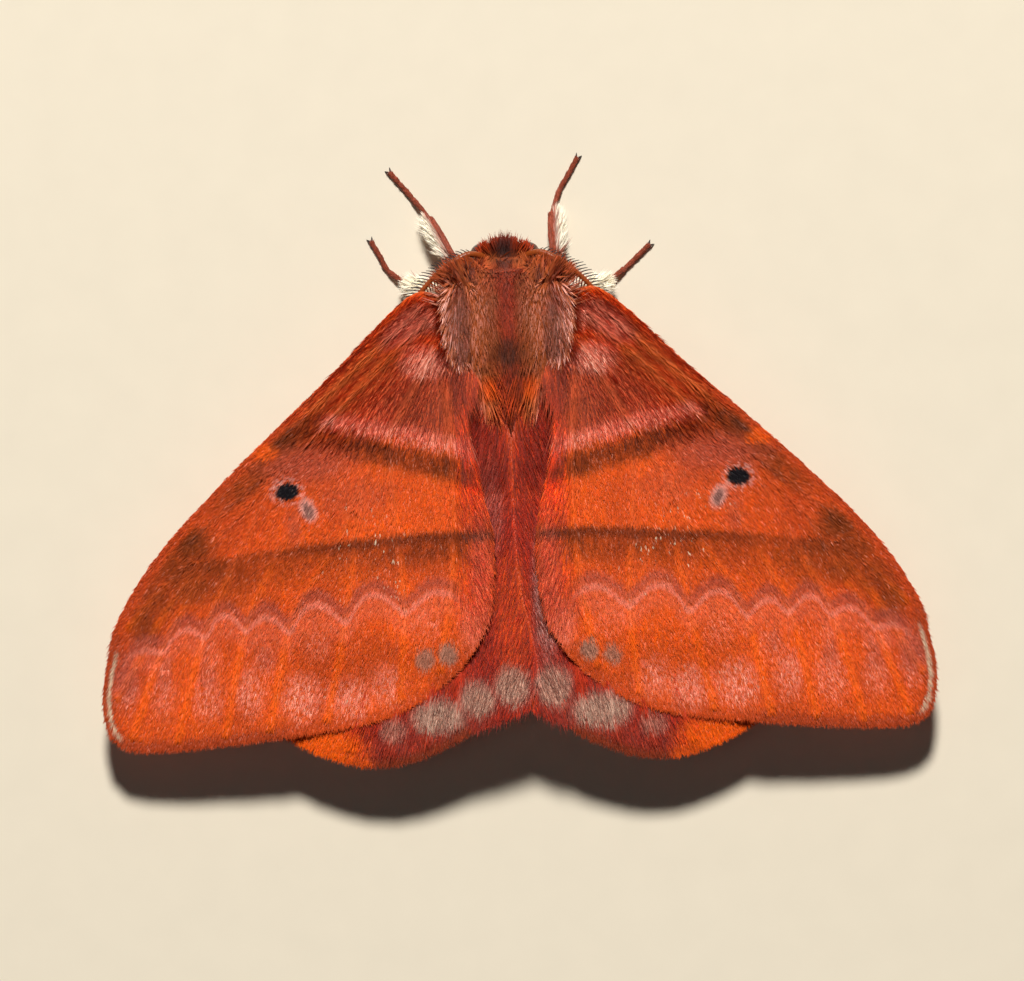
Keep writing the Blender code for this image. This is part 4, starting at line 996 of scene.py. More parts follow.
def forewing_height(x, y):
    """The forewing dips a little along its inner margin, onto the hindwing."""
    dip = 0.35 * eased(y, 3.0, -3.0) * eased(x, 5.0, 2.0) + 0.2 * eased(y, -18.5, -21.5)
    dip = np.maximum(dip, 0.73 * eased(y, -13.0, -18.0) * eased(x, 20.0, 15.0))
    return wing_height(x, y) + FOREWING_OFFSET_Z - dip


def hindwing_height(x, y):
    past = np.maximum(0.0, -17.0 - y)
    return wing_height(x, y, 0.0) + HINDWING_OFFSET_Z - 0.012 * past**2


def ring_at(rings, y):
    """(half width, middle height, half height) of a body at a place along it."""
    table = np.array(rings)[::-1]
    return [np.interp(y, table[:, 0], table[:, k]) for k in (1, 2, 3)]


def root_line(ends, height):
    """The wing's root, which follows the side of the thorax."""
    ys = np.linspace(ends[1], ends[0], 6)
    half_width, mid_z, half_height = ring_at(THORAX_RINGS, ys)
    drop = np.clip(np.abs(height(half_width, ys) - mid_z) / half_height, 0, 1)
    return np.stack((half_width * np.sqrt(1 - drop**2) + 0.02, ys), axis=1)


def inside(points, outline):
    """Which points of the plan lie inside a closed outline."""
    hit = np.zeros(len(points), dtype=bool)
    for a, b in zip(outline, np.roll(outline, -1, axis=0)):
        if a[1] == b[1]:
            continue
        crosses = (a[1] > points[:, 1]) != (b[1] > points[:, 1])
        meets = a[0] + (points[:, 1] - a[1]) / (b[1] - a[1]) * (b[0] - a[0])
        hit ^= crosses & (points[:, 0] < meets)
    return hit


def closed_line(outline):
    return np.concatenate((outline, outline[:1]))


def drawn_in(outline, margin_count, amount):
    """The outline with its outer margin drawn in, which leaves room for the fringe."""
    before, after = np.roll(outline, 1, axis=0), np.roll(outline, -1, axis=0)
    along = unit(after - before)
    inward = np.stack((along[:, 1], -along[:, 0]), axis=1)
    share = eased(outline[:, 1], FRINGE_FROM_Y, FRINGE_FROM_Y - 2.5)
    share[margin_count:] = 0
    return outline + inward * (share * amount)[:, None]


def wing_plan(outline, veins):
    """Points and triangles of the plan, with lines of points along the veins."""
    plan = [Vector(p) for p in outline]
    edges = []
    lines = [smooth_line(vein, VEIN_STEP) for vein in veins.values()]
    for line in lines:
        kept = line[inside(line, outline)]
        edges += [(len(plan) + i, len(plan) + i + 1) for i in range(len(kept) - 1)]
        plan += [Vector(p) for p in kept]
    low, high = outline.min(axis=0), outline.max(axis=0)
    columns = np.arange(low[0], high[0], WING_GRID)
    rows = np.arange(low[1], high[1], WING_GRID * 0.87)
    grid = np.array([(x + WING_GRID / 2 * (k % 2), y) for k, y in enumerate(rows) for x in columns])
    grid = grid[inside(grid, outline)]
    clear = nearest_on_line(grid, closed_line(outline))[0] > WING_GRID * 0.5
    for line in lines:
        clear &= nearest_on_line(grid, line)[0] > WING_GRID * 0.45
    plan += [Vector(p) for p in grid[clear]]
    ring = tuple(range(len(outline)))
    corners, _, faces = delaunay_2d_cdt(plan, edges, [ring], 1, 0.01)[:3]
    return np.array([tuple(c) for c in corners]), [tuple(face) for face in faces]


def wing_unwrap(plan):
    """The top's map: along the front edge across, and back from that edge upwards."""
    from_shoulder = plan - SHOULDER
    along = from_shoulder @ np.array(COSTA_DIRECTION)
    behind = from_shoulder @ np.array((COSTA_DIRECTION[1], -COSTA_DIRECTION[0]))
    across = MAP_EDGE + (along + 4) / WING_MAP_SPAN[0]
    return np.column_stack((across, MAP_EDGE + behind / WING_MAP_SPAN[1], np.zeros(len(plan))))


def wing_parts(outline, margin_count, veins, height, side, sizes, lies):
    """The closed sheet of a wing, and the attributes of its top's points."""
    bare = drawn_in(outline, margin_count, sizes.fringe / MM)
    plan, faces = wing_plan(bare, veins)
    lines = [smooth_line(vein, VEIN_STEP) for vein in veins.values()]
    distances = [nearest_on_line(plan, line) for line in lines]
    # The short vein that crosses the wing is flat, and the scales don't follow it.
    distances = [d for name, d in zip(veins, distances) if name != "cross_vein"]
    vein = np.min([d[0] for d in distances], axis=0)
    flow = unit(sum(d[1] / (d[0][:, None] + 0.6) ** 2 for d in distances))
    front = outline[: margin_count][outline[:margin_count, 1] > FRINGE_FROM_Y - 2]
    rear = outline[: margin_count][outline[:margin_count, 1] < FRINGE_FROM_Y]
    half_split = int(np.argmax(front[:, 0])) + 1
    costa = nearest_on_line(plan, front[:half_split])[0]
    margin = nearest_on_line(plan, rear)[0]
    thickness = sizes.wing_sheet / MM
    ridge = sizes.vein_ridge / MM * np.exp(-((vein / 0.22) ** 2))
    sag = 0.05 * np.minimum(vein, 1.2)
    level = height(plan[:, 0], plan[:, 1])
    middle = level - sag
    top = np.column_stack((plan[:, 0] * side, plan[:, 1], middle + thickness / 2 + ridge))
    bottom = np.column_stack((plan[:, 0] * side, plan[:, 1], middle - thickness / 2 - ridge * 0.4))
    count = len(plan)
    rim = {}
    for face in faces:
        for a, b in zip(face, face[1:] + face[:1]):
            rim.setdefault((min(a, b), max(a, b)), []).append((a, b))
    walls = []
    for shared in rim.values():
        if len(shared) == 1:
            a, b = shared[0]
            walls += [(a, b, b + count), (a, b + count, a + count)]
    under = [tuple(k + count for k in reversed(face)) for face in faces]
    flow = lies(plan, flow)
    slope_x = (height(plan[:, 0] + SLOPE_STEP, plan[:, 1]) - level) / SLOPE_STEP
    slope_y = (height(plan[:, 0], plan[:, 1] + SLOPE_STEP) - level) / SLOPE_STEP
    rise = flow[:, 0] * slope_x + flow[:, 1] * slope_y
    lie = unit(np.column_stack((flow[:, 0] * side, flow[:, 1], rise)))
    attributes = {
        "lie": lie,
        "reach": 1 + 1.5 * eased(plan[:, 0], 5.2, 3.8) * eased(plan[:, 1], -2.0, 1.5),
        "rise": np.ones(count),
        "cover": np.ones(count),
        "edges": np.column_stack((vein, costa, margin)),
        "unwrap": wing_unwrap(plan),
    }
    return {
        "plan": plan,
        "faces": faces if side > 0 else [face[::-1] for face in faces],
        "top": top,
        "bottom": bottom,
        "solid": (np.concatenate((top, bottom)), faces + under + walls),
        "attributes": attributes,
        "margin": rear,
        "side": side,
        "height": height,
    }


def forewing_lies(plan, flow):
    """Scales follow the veins, and turn towards the body along the inner margin."""
    inner = eased(plan[:, 0], 5.5, 2.5) * eased(plan[:, 1], 9.0, 5.0)
    lean = np.array((-0.28, -1.0))
    return unit(flow * (1 - inner[:, None]) + lean * inner[:, None])


def hindwing_lies(plan, flow):
    """Hair on the hindwing runs back, and rays outwards near the tail."""
    inner = eased(plan[:, 0], 4.5, 1.5)
    lean = np.array((0.25, -1.0))
    return unit(flow * (1 - inner[:, None]) + lean * inner[:, None])


def forewing_outline():
    margin = smooth_line(FOREWING_MARGIN, MARGIN_STEP)
    return np.concatenate((margin, root_line(FOREWING_ROOT_Y, wing_height))), len(margin)


def hindwing_outline(side):
    """The two hindwings differ only where they meet, as the seam isn't straight."""
    margin = smooth_line(HINDWING_MARGIN, MARGIN_STEP)
    seam = smooth_line(HINDWING_SEAM, MARGIN_STEP) * np.array((side, 1.0))
    root = root_line(HINDWING_ROOT_Y, hindwing_height)
    return np.concatenate((margin, seam, root)), len(margin)


# Body.


def ring_faces(count, sides, flipped):
    """Faces that join rings of points and close both ends. Flipped turns the first end's face."""
    faces = []
    for ring in range(count - 1):
        for k in range(sides):
            here, there = ring * sides + k, ring * sides + (k + 1) % sides
            faces.append((here, there, there + sides, here + sides))
    first, last = tuple(range(sides)), tuple(range((count - 1) * sides, count * sides))
    return faces + ([first[::-1], last] if flipped else [first, last[::-1]])


def ring_body(rings, sides, share=1.0):
    """Points and faces of a closed body through rings."""
    points = []
    turns = np.arange(sides) * 2 * math.pi / sides
    for y, half_width, mid_z, half_height in rings:
        for angle in turns:
            points.append((
                half_width * share * math.cos(angle), y, mid_z + half_height * share * math.sin(angle)
            ))
    return points, ring_faces(len(rings), sides, False)


def ball_rings(centre, half, count):
    """Rings of an ellipsoid whose poles lie along Y."""
    rings = []
    for i in range(count):
        polar = math.pi * (i + 0.5) / count
        size = math.sin(polar)
        rings.append((centre[1] + half[1] * math.cos(polar), half[0] * size, centre[2], half[2] * size))
    return rings


def tube(path, radii, sides):
    """Points and faces of a closed tube along a path."""
    path = [Vector(p) for p in path]
    points = []
    for i, at in enumerate(path):
        ahead = (path[min(i + 1, len(path) - 1)] - path[max(i - 1, 0)]).normalized()
        across = ahead.cross(Vector((0, 0, 1))).normalized()
        up = across.cross(ahead)
        for k in range(sides):
            angle = 2 * math.pi * k / sides
            points.append(at + (across * math.cos(angle) + up * math.sin(angle)) * radii[i])
    return points, ring_faces(len(path), sides, True)


def thorax_rings():
    """The thorax's rings, closer together and smooth."""
    return [tuple(ring) for ring in smooth_line(THORAX_RINGS, 0.4)]


def abdomen_rings():
    """Rings from inside the waist to the tail, with a groove between segments."""
    rings = []
    length = ABDOMEN_FRONT_Y - ABDOMEN_TAIL_Y
    for step in range(-3, 81):
        t = step / 80
        share = min(max(t, 0.0), 0.985)
        size = math.sqrt(1 - share**2.6) * (0.82 + 0.18 * min(1.0, share / 0.12))
        groove = 1 - 0.035 * max(0.0, math.cos(2 * math.pi * t * ABDOMEN_SEGMENTS)) ** 6
        waist = 0.8 * max(0.0, 1 - share / 0.15)
        mid_z = ABDOMEN_MID_Z + waist - 0.5 * share
        half = [part * size * groove for part in ABDOMEN_HALF]
        rings.append((ABDOMEN_FRONT_Y - t * length, half[0], mid_z, half[1]))
    return rings


def leg_path(name):
    """Hip, knee, heel, bend and tip of a leg."""
    hip, *rest = LEGS[name]
    half_width, mid_z, half_height = ring_at(THORAX_RINGS, hip[1])
    under = mid_z - half_height * math.sqrt(1 - (hip[0] / half_width) ** 2)
    return [Vector((*hip, under - 0.75))] + [Vector(p) for p in rest]


def foot_path(name, step=0.12):
    """The foot's curve, from the heel to a little past the tip."""
    _, _, heel, bend, tip = leg_path(name)
    end = tip + (tip - bend).normalized() * FOOT_END
    return smooth_line((heel, bend, bend.lerp(end, 0.5), end), step)


def leg_tubes(name, sizes):
    """The hip joint, thigh, shin and jointed foot of a leg."""
    hip, knee, heel, _, _ = leg_path(name)
    radii = (sizes.femur_radius, sizes.tibia_radius, sizes.foot_radius)
    femur, tibia, foot = (radius / MM for radius in radii)
    inner = Vector((hip.x * 0.7, hip.y, hip.z + 1.6))
    yield tube((inner, hip), (0.8, 0.62), 12)
    middle = hip.lerp(knee, 0.45)
    yield tube((hip, middle, knee), (femur * 0.8, femur, femur * 0.72), 12)
    steps = (0.0, 0.12, 0.5, 0.85, 1.0)
    swell = (0.8, 1.0, 1.15, 1.0, 0.95)
    yield tube([knee.lerp(heel, s) for s in steps], [tibia * s for s in swell], 12)
    path = foot_path(name)
    radii = []
    for i in range(len(path)):
        share = i / (len(path) - 1)
        piece = next(k for k in range(1, len(FOOT_JOINTS)) if share <= FOOT_JOINTS[k])
        start, end = FOOT_JOINTS[piece - 1], FOOT_JOINTS[piece]
        radii.append(foot * (0.84 + 0.24 * ((share - start) / (end - start)) ** 1.5))
    lifted = [Vector((p[0], p[1], max(p[2] - 0.05, radius))) for p, radius in zip(path, radii)]
    yield tube(lifted, radii, 10)


def body_skin(sizes):
    """One skin for thorax, abdomen, head, palps and legs, fused from overlapping shapes."""
    shapes = [
        ring_body(thorax_rings(), 40, THORAX_SHARE),
        ring_body(abdomen_rings(), 36),
        ring_body(ball_rings(HEAD_CENTRE, HEAD_HALF, 18), 28),
        ring_body(NECK_RINGS, 28),
    ]
    for side in SIDES.values():
        path = smooth_line([(p[0] * side, *p[1:]) for p in PALP_PATH], 0.2)
        shapes.append(tube(path, np.linspace(0.3, 0.2, len(path)), 10))
        for centre, half in SHOULDER_PADS:
            points, faces = ring_body(ball_rings(centre, half, 14), 20)
            shapes.append(([(px + centre[0] * side, py, pz) for px, py, pz in points], faces))
    for name in LEGS:
        shapes += leg_tubes(name, sizes)
    points, faces = [], []
    for shape_points, shape_faces in shapes:
        start = len(points)
        points += [tuple(p) for p in shape_points]
        faces += [tuple(start + k for k in face) for face in shape_faces]
    rough = new_object("body skin", points, faces)
    outwards(rough)
    remesh = rough.modifiers.new("fuse", "REMESH")
    remesh.mode = "VOXEL"
    remesh.voxel_size = sizes.skin_voxel / MM
    soften = rough.modifiers.new("soften", "SMOOTH")
    soften.factor = 0.5
    soften.iterations = 2
    return converted(rough)


def converted(thing):
    """The object with its modifiers turned into a plain mesh."""
    graph = bpy.context.evaluated_depsgraph_get()
    old = thing.data
    thing.data = bpy.data.meshes.new_from_object(thing.evaluated_get(graph))
    thing.modifiers.clear()
    bpy.data.meshes.remove(old)
    return thing


# Skin nearer than this to a leg's middle line is the leg's.
LIMB_REACH = 0.75


def body_regions(points):
    """For each point of the skin: which part it is, and where it lies on its leg."""
    limb = np.full(len(points), np.inf)
    way = np.zeros_like(points)
    share = np.zeros(len(points))
    piece = np.full(len(points), "", dtype="U6")
    leg = np.full(len(points), "", dtype="U10")
    for name in LEGS:
        hip, knee, heel, _, _ = leg_path(name)
        lines = {
            "femur": np.array((hip, knee)),
            "tibia": np.array((knee, heel)),
            "foot": foot_path(name, 0.4),
        }
        for part, line in lines.items():
            distance, direction, along = nearest_on_line(points, line)
            closer = distance < limb
            limb[closer] = distance[closer]
            way[closer] = direction[closer]
            share[closer] = along[closer]
            piece[closer] = part
            leg[closer] = name
    _, y, z = points.T
    trunk = np.full(len(points), "thorax", dtype="U8")
    trunk[y < ABDOMEN_FRONT_Y] = "abdomen"
    half = np.array(HEAD_HALF) + 0.12
    in_head = (((points - np.array(HEAD_CENTRE)) / half) ** 2).sum(axis=1) < 1.15
    trunk[in_head & (y > 15.1)] = "head"
    trunk[(y > 16.4) & (z < 4.3)] = "head"
    return {
        "limb": limb < LIMB_REACH, "way": way, "share": share, "piece": piece, "leg": leg, "trunk": trunk
    }


# Tufts and the coat.


def scale_shape(name, bend, crest):
    """A flat pointed scale, one unit long and wide, closed by four faces."""
    points = ((-0.5, 0.0, 0.0), (0.5, 0.0, 0.0), (bend * 0.5, 0.3, crest), (bend, 1.0, 0.1))
    faces = ((0, 3, 1), (0, 2, 3), (2, 1, 3), (0, 1, 2))
    patch = [(p[0], p[1], 0.0) for p in points]
    return new_object(name, points, faces, {"patch": patch})


HAIR_FLATNESS = 0.7


def hair_shape(name, bend, arch, lean):
    """A three-sided hair that bows up from its root and tapers to a point."""
    points, patch = [], []
    rings = ((0.0, 0.8), (0.45, 0.9))
    for t, radius in rings:
        centre = Vector((bend * t * t, t, arch * (1.8 * t - t * t) + lean * t**3))
        for angle in (90, 210, 330):
            turn = math.radians(angle)
            out = Vector((math.cos(turn), 0, HAIR_FLATNESS * math.sin(turn)))
            points.append(centre + out * 0.5 * radius)
            patch.append((out.x * radius * 0.5, t, 0.0))
    points.append(Vector((bend, 1.0, arch * 0.8 + lean)))
    patch.append((0.0, 1.0, 0.0))
    faces = [(0, 1, 2)]
    for ring in range(len(rings) - 1):
        for k in range(3):
            here, there = ring * 3 + k, ring * 3 + (k + 1) % 3
            faces.append((here, here + 3, there + 3, there))
    last = len(points) - 4
    faces += [(last + k, last + 3, last + (k + 1) % 3) for k in range(3)]
    made = new_object(name, points, faces, {"patch": patch})
    outwards(made)
    return made


def make_tufts(name):
    """The shapes that the coats are made of, as a collection to draw from."""
    made = bpy.data.collections.new(name)
    bpy.context.scene.collection.children.link(made)
    if name == "scales":
        things = [scale_shape(f"scale_{k}", bend, 0.16) for k, bend in enumerate((-0.35, 0.0, 0.35))]
    else:
        bends = (-1.4, -0.5, 0.5, 1.4)
        things = [hair_shape(f"bristle_{k}", bend, 0.5, 0.2) for k, bend in enumerate(bends)]
    for thing in things:
        bpy.context.scene.collection.objects.unlink(thing)
        made.objects.link(thing)
    return made


def drop_tufts():
    """Takes the tuft shapes out of the scene once every coat has grown."""
    for name in ("scales", "bristles"):
        held = bpy.data.collections[name]
        for thing in list(held.objects):
            bpy.data.objects.remove(thing)
        bpy.data.collections.remove(held)


def make_real(tree, grown, finish, result):
    """Ends a group: its instances become one mesh with its finish."""
    real = add(tree, "GeometryNodeRealizeInstances", {0: grown.outputs[0]})
    dressed = add(tree, "GeometryNodeSetMaterial", {0: real.outputs[0], "Material": finish})
    tree.links.new(dressed.outputs[0], result)


def coat_tree():
    """Geometry nodes that grow tufts over a surface, each lying the way its lie attribute points."""
    numbers = ("Density", "Width", "Length", "Height", "Tilt", "Turn", "Uneven")
    inputs = {"Surface": "Geometry", "Tufts": "Collection", **dict.fromkeys(numbers, "Float")}
    inputs.update({"Seed": "Int", "Finish": "Material"})
    tree, given, result = new_group("coat", "GeometryNodeTree", inputs, {"Coat": "Geometry"})

    def named(word, kind):
        node = add(tree, "GeometryNodeInputNamedAttribute", {"Name": word}, data_type=kind)
        return Field(tree, node.outputs["Attribute"])

    def draw(low, high, offset):
        node = add(tree, "FunctionNodeRandomValue", {2: low, 3: high, "Seed": given["Seed"] + offset})
        return Field(tree, node.outputs[1])

    scattered = add(tree, "GeometryNodeDistributePointsOnFaces", {
        "Mesh": given["Surface"],
        "Density": given["Density"] * named("cover", "FLOAT"),
        "Seed": given["Seed"],
    })
    stored = add(tree, "GeometryNodeStoreNamedAttribute", {
        "Geometry": scattered.outputs["Points"],
        "Name": "chance",
        "Value": draw(0.0, 1.0, 1),
    }, data_type="FLOAT", domain="POINT")
    stored = add(tree, "GeometryNodeStoreNamedAttribute", {
        "Geometry": stored.outputs[0],
        "Name": "out",
        "Value": scattered.outputs["Normal"],
    }, data_type="FLOAT_VECTOR", domain="POINT")
    facing = add(tree, "FunctionNodeAxesToRotation", {
        "Primary Axis": named("out", "FLOAT_VECTOR"),
        "Secondary Axis": named("lie", "FLOAT_VECTOR"),
    }, primary_axis="Z", secondary_axis="Y")
    tilt = given["Tilt"] * named("rise", "FLOAT") * draw(0.5, 1.5, 2)
    yaw = given["Turn"] * draw(-1.0, 1.0, 3)
    euler = add(tree, "FunctionNodeEulerToRotation", {0: joined(tilt, 0.0, yaw)})
    turned = add(tree, "FunctionNodeRotateRotation", {
        "Rotation": facing.outputs[0], "Rotate By": euler.outputs[0],
    }, rotation_space="LOCAL")
    reach = named("reach", "FLOAT")
    longer = given["Length"] * reach * (1.0 + given["Uneven"] * draw(-1.0, 1.0, 4))
    wider = given["Width"] * draw(0.7, 1.3, 5)
    size = joined(wider, longer, given["Height"] * reach.maths("SQRT") * draw(0.6, 1.4, 6))
    shapes = add(tree, "GeometryNodeCollectionInfo", {
        "Collection": given["Tufts"], "Separate Children": True, "Reset Children": True,
    })
    pick = add(tree, "FunctionNodeRandomValue", {4: 0, 5: 11, "Seed": given["Seed"] + 7}, data_type="INT")
    grown = add(tree, "GeometryNodeInstanceOnPoints", {
        "Points": stored.outputs[0],
        "Instance": shapes.outputs[0],
        "Pick Instance": True,
        "Instance Index": pick.outputs[2],
        "Rotation": turned.outputs[0],
        "Scale": size,
    })
    make_real(tree, grown, given["Finish"], result)
    return tree


def set_inputs(modifier, values):
    """Sets a modifier's inputs through their identifiers."""
    for item in modifier.node_group.interface.items_tree:
        if item.in_out == "INPUT" and item.name in values:
            modifier[item.identifier] = values[item.name]


UNWRAP_PATCH = 0.003
# Attributes that only the growing of a coat needs, unless its markings use them too.
GROWING_ATTRIBUTES = (
    "lie", "reach", "rise", "cover", "unwrap", "out", "edges", "pale", "limb",
)


def unwrap_tufts(mesh):
    """Gives each tuft a small patch on the map, at its root's place."""
    count = len(mesh.vertices)
    place = np.empty(count * 3, dtype=np.float32)
    patch = np.empty(count * 3, dtype=np.float32)
    mesh.attributes["unwrap"].data.foreach_get("vector", place)
    mesh.attributes["patch"].data.foreach_get("vector", patch)
    at = place.reshape(-1, 3)[:, :2] + patch.reshape(-1, 3)[:, :2] * UNWRAP_PATCH
    corners = np.empty(len(mesh.loops), dtype=np.int32)
    mesh.loops.foreach_get("vertex_index", corners)
    layer = mesh.uv_layers.new(name="OFBake")
    layer.data.foreach_set("uv", np.clip(at, 0, 1)[corners].astype(np.float32).ravel())


def grow(name, surface, material, slot, kept, **values):
    """Grows a coat on a surface and turns it into a plain piece."""
    tree = bpy.data.node_groups.get("coat") or coat_tree()
    tufts = bpy.data.collections.get(values["Tufts"]) or make_tufts(values["Tufts"])
    modifier = surface.modifiers.new("coat", "NODES")
    modifier.node_group = tree
    values = {**values, "Tufts": tufts, "Finish": bpy.data.materials[material]}
    set_inputs(modifier, values)
    converted(surface)
    unwrap_tufts(surface.data)
    for word in GROWING_ATTRIBUTES:
        if word in surface.data.attributes and word not in kept:
            surface.data.attributes.remove(surface.data.attributes[word])
    return finish_piece(surface, name, material, slot, smooth=False)


def emitter(name, points, faces, attributes, cover=None):
    """A surface for a coat to grow on, cut down to the faces where the coat is."""
    faces = np.array(faces)
    if cover is not None:
        attributes = {**attributes, "cover": cover}
        faces = faces[cover[faces].max(axis=1) > 0.01]
    used = np.unique(faces)
    renumbered = np.full(len(points), -1)
    renumbered[used] = np.arange(len(used))
    kept = {word: np.asarray(values)[used] for word, values in attributes.items()}
    kept["root"] = np.asarray(points)[used]
    return new_object(name, np.asarray(points)[used], renumbered[faces], kept)


# Operators.


class MakeFinishes(bpy.types.Operator):
    """Make the materials and their shared node groups"""

    bl_idname = "moth.make_finishes"
    bl_label = "Make Finishes"

    def execute(self, context):
        colours = context.scene.moth_colours
        forewing_markings(colours)
        hindwing_markings(colours)
        underside_markings(colours)
        body_markings(colours)
        tuft_tint()
        coat_material("forewing scales", "forewing markings", spread=0.42, root_shade=0.22)
        coat_material("hindwing scales", "hindwing markings", spread=0.5, root_shade=0.3)
        coat_material("underside scales", "underside markings", spread=0.45)
        coat_material("body hair", "body markings", hold=0.35, spread=0.6, root_shade=0.2)
        skin_material("forewing skin", "forewing markings", 9.0, 0.5)
        skin_material("hindwing skin", "hindwing markings", 9.0, 0.5)
        skin_material("body skin", "body markings", 7.0, 0.6, 0.4)
        eye_material(colours)
        horn_material("claw", colours.leg, colours.black, 0.1, 0.55)
        shaft = tuple(1.3 * part for part in colours.olive)
        horn_material("antenna", shaft, colours.black, 0.05, 0.45)
        floor_material(colours.floor)
        return {"FINISHED"}


# How thickly the hidden undersides are scaled, as a share of the tops.
UNDERSIDE_COVER = 0.12


def wing_coat(wing, name, finish, slot, coat, cover, top=True):
    """Scales over one face of a wing, as thick as cover says."""
    attributes = dict(wing["attributes"])
    points = wing["top"] if top else wing["bottom"]
    faces = wing["faces"]
    if not top:
        faces = [face[::-1] for face in faces]
        attributes["unwrap"] = attributes["unwrap"] + np.array((0.5, 0.0, 0.0))
    surface = emitter(name, points, faces, attributes, cover)
    return grow(
        name, surface, finish, slot, ("edges",),
        Tufts="scales", Density=coat.scale_density, Width=coat.scale_width / MM,
        Length=coat.scale_length / MM, Height=0.3, Tilt=math.radians(9), Turn=math.radians(16),
        Uneven=0.3, Seed=coat.seed + len(name) + wing["side"],
    )


# The fringe's distances to a vein, the front edge and the outer margin, for its markings.
FRINGE_EDGES = (1.0, 9.0, 0.1)


def fringe_surface(wing, sizes):
    """A narrow strip along the outer margin, with its scales pointing off the wing."""
    line = wing["margin"]
    along = unit(np.gradient(line, axis=0))
    out = np.stack((-along[:, 1], along[:, 0]), axis=1)
    reach = sizes.fringe / MM
    inner, outer = line - out * (reach + 0.35), line - out * (reach - 0.02)
    plan = np.concatenate((inner, outer))
    side, count = wing["side"], len(line)
    z = wing["height"](plan[:, 0], plan[:, 1])
    points = np.column_stack((plan[:, 0] * side, plan[:, 1], z))
    faces = []
    for k in range(count - 1):
        quad = (k, k + 1, count + k + 1, count + k)
        faces += [(quad[0], quad[1], quad[2]), (quad[0], quad[2], quad[3])]
    first, second, third = points[list(faces[0][:3])]
    if np.cross(second - first, third - first)[2] < 0:
        faces = [face[::-1] for face in faces]
    sweep = eased(line[:, 1], -20.6, -19.0)[:, None]
    both = unit(out * (1 - 0.72 * sweep) + along * sweep + np.array((0.0, -0.3)))
    both = np.concatenate((both, both))
    lie = unit(np.column_stack((both[:, 0] * side, both[:, 1], np.full(2 * count, -0.05))))
    attributes = {
        "lie": lie,
        "reach": np.ones(2 * count),
        "rise": np.ones(2 * count),
        "cover": np.ones(2 * count),
        "edges": np.tile(FRINGE_EDGES, (2 * count, 1)),
        "unwrap": wing_unwrap(plan),
    }
    return emitter("fringe", points, faces, attributes)


def wing_sheet(name, wing, kind, slot):
    """The bare wing, as one closed sheet that replaces the wing's solid."""
    both = {"edges": np.concatenate((wing["attributes"]["edges"],) * 2)}
    sheet = new_object("sheet", *wing["solid"], both)
    outwards(sheet)
    finish_piece(sheet, f"{name}_skin", f"{kind} skin", slot, [name])


def wing_trim(name, wing, kind, slot, sizes, cover, hair, seed):
    """A wing's long hair, as (number to a square millimetre, width, length), and its fringe."""
    surface = emitter("hair", wing["top"], wing["faces"], wing["attributes"], cover)
    density, width, length = hair
    grow(
        f"{name}_hair", surface, f"{kind} scales", slot, ("edges",),
        Tufts="bristles", Density=density, Width=width, Length=length, Height=0.2,
        Tilt=math.radians(6), Turn=math.radians(12), Uneven=0.3, Seed=seed + wing["side"],
    )
    grow(
        f"{name}_fringe", fringe_surface(wing, sizes), f"{kind} scales", slot, ("edges",),
        Tufts="scales", Density=150.0, Width=0.12, Length=0.55, Height=0.3,
        Tilt=0.03, Turn=math.radians(10), Uneven=0.25, Seed=seed + 2 + wing["side"],
    )


def shaggy_cover(plan):
    """Where the forewing carries long hair: its base, the pink band and the inner margin."""
    x, y = plan.T
    base = eased(y, 0.6, 3.4) * eased(x, 17.0, 13.0) * 0.8
    inner = eased(x, 5.5, 3.0) * eased(y, -14.0, -10.0)
    return np.clip(np.maximum(base, inner), 0, 1)


class MakeForewings(bpy.types.Operator):
    """Make both forewings, their scales, their long hair and their fringes"""

    bl_idname = "moth.make_forewings"
    bl_label = "Make Forewings"

    def execute(self, context):
        sizes, coat = context.scene.moth_sizes, context.scene.moth_coat
        outline, margin_count = forewing_outline()
        for word, side in SIDES.items():
            wing = wing_parts(
                outline, margin_count, FOREWING_VEINS, forewing_height, side, sizes, forewing_lies
            )
            name = f"forewing_{word}"
            wing_sheet(name, wing, "forewing", "wing_orange")
            front = (wing["plan"][:, 1] > -7.5).astype(float)
            for part, cover in (("front", front), ("rear", 1 - front)):
                wing_coat(
                    wing, f"{name}_{part}_scales", "forewing scales", "wing_orange", coat, cover
                )
            wing_coat(
                wing, f"{name}_underside_scales", "underside scales", "wing_orange", coat,
                np.full(len(front), UNDERSIDE_COVER), False,
            )
            wing_trim(
                name, wing, "forewing", "wing_orange", sizes, shaggy_cover(wing["plan"]),
                (49.0, 0.06, 1.0), coat.seed + 3,
            )
        return {"FINISHED"}


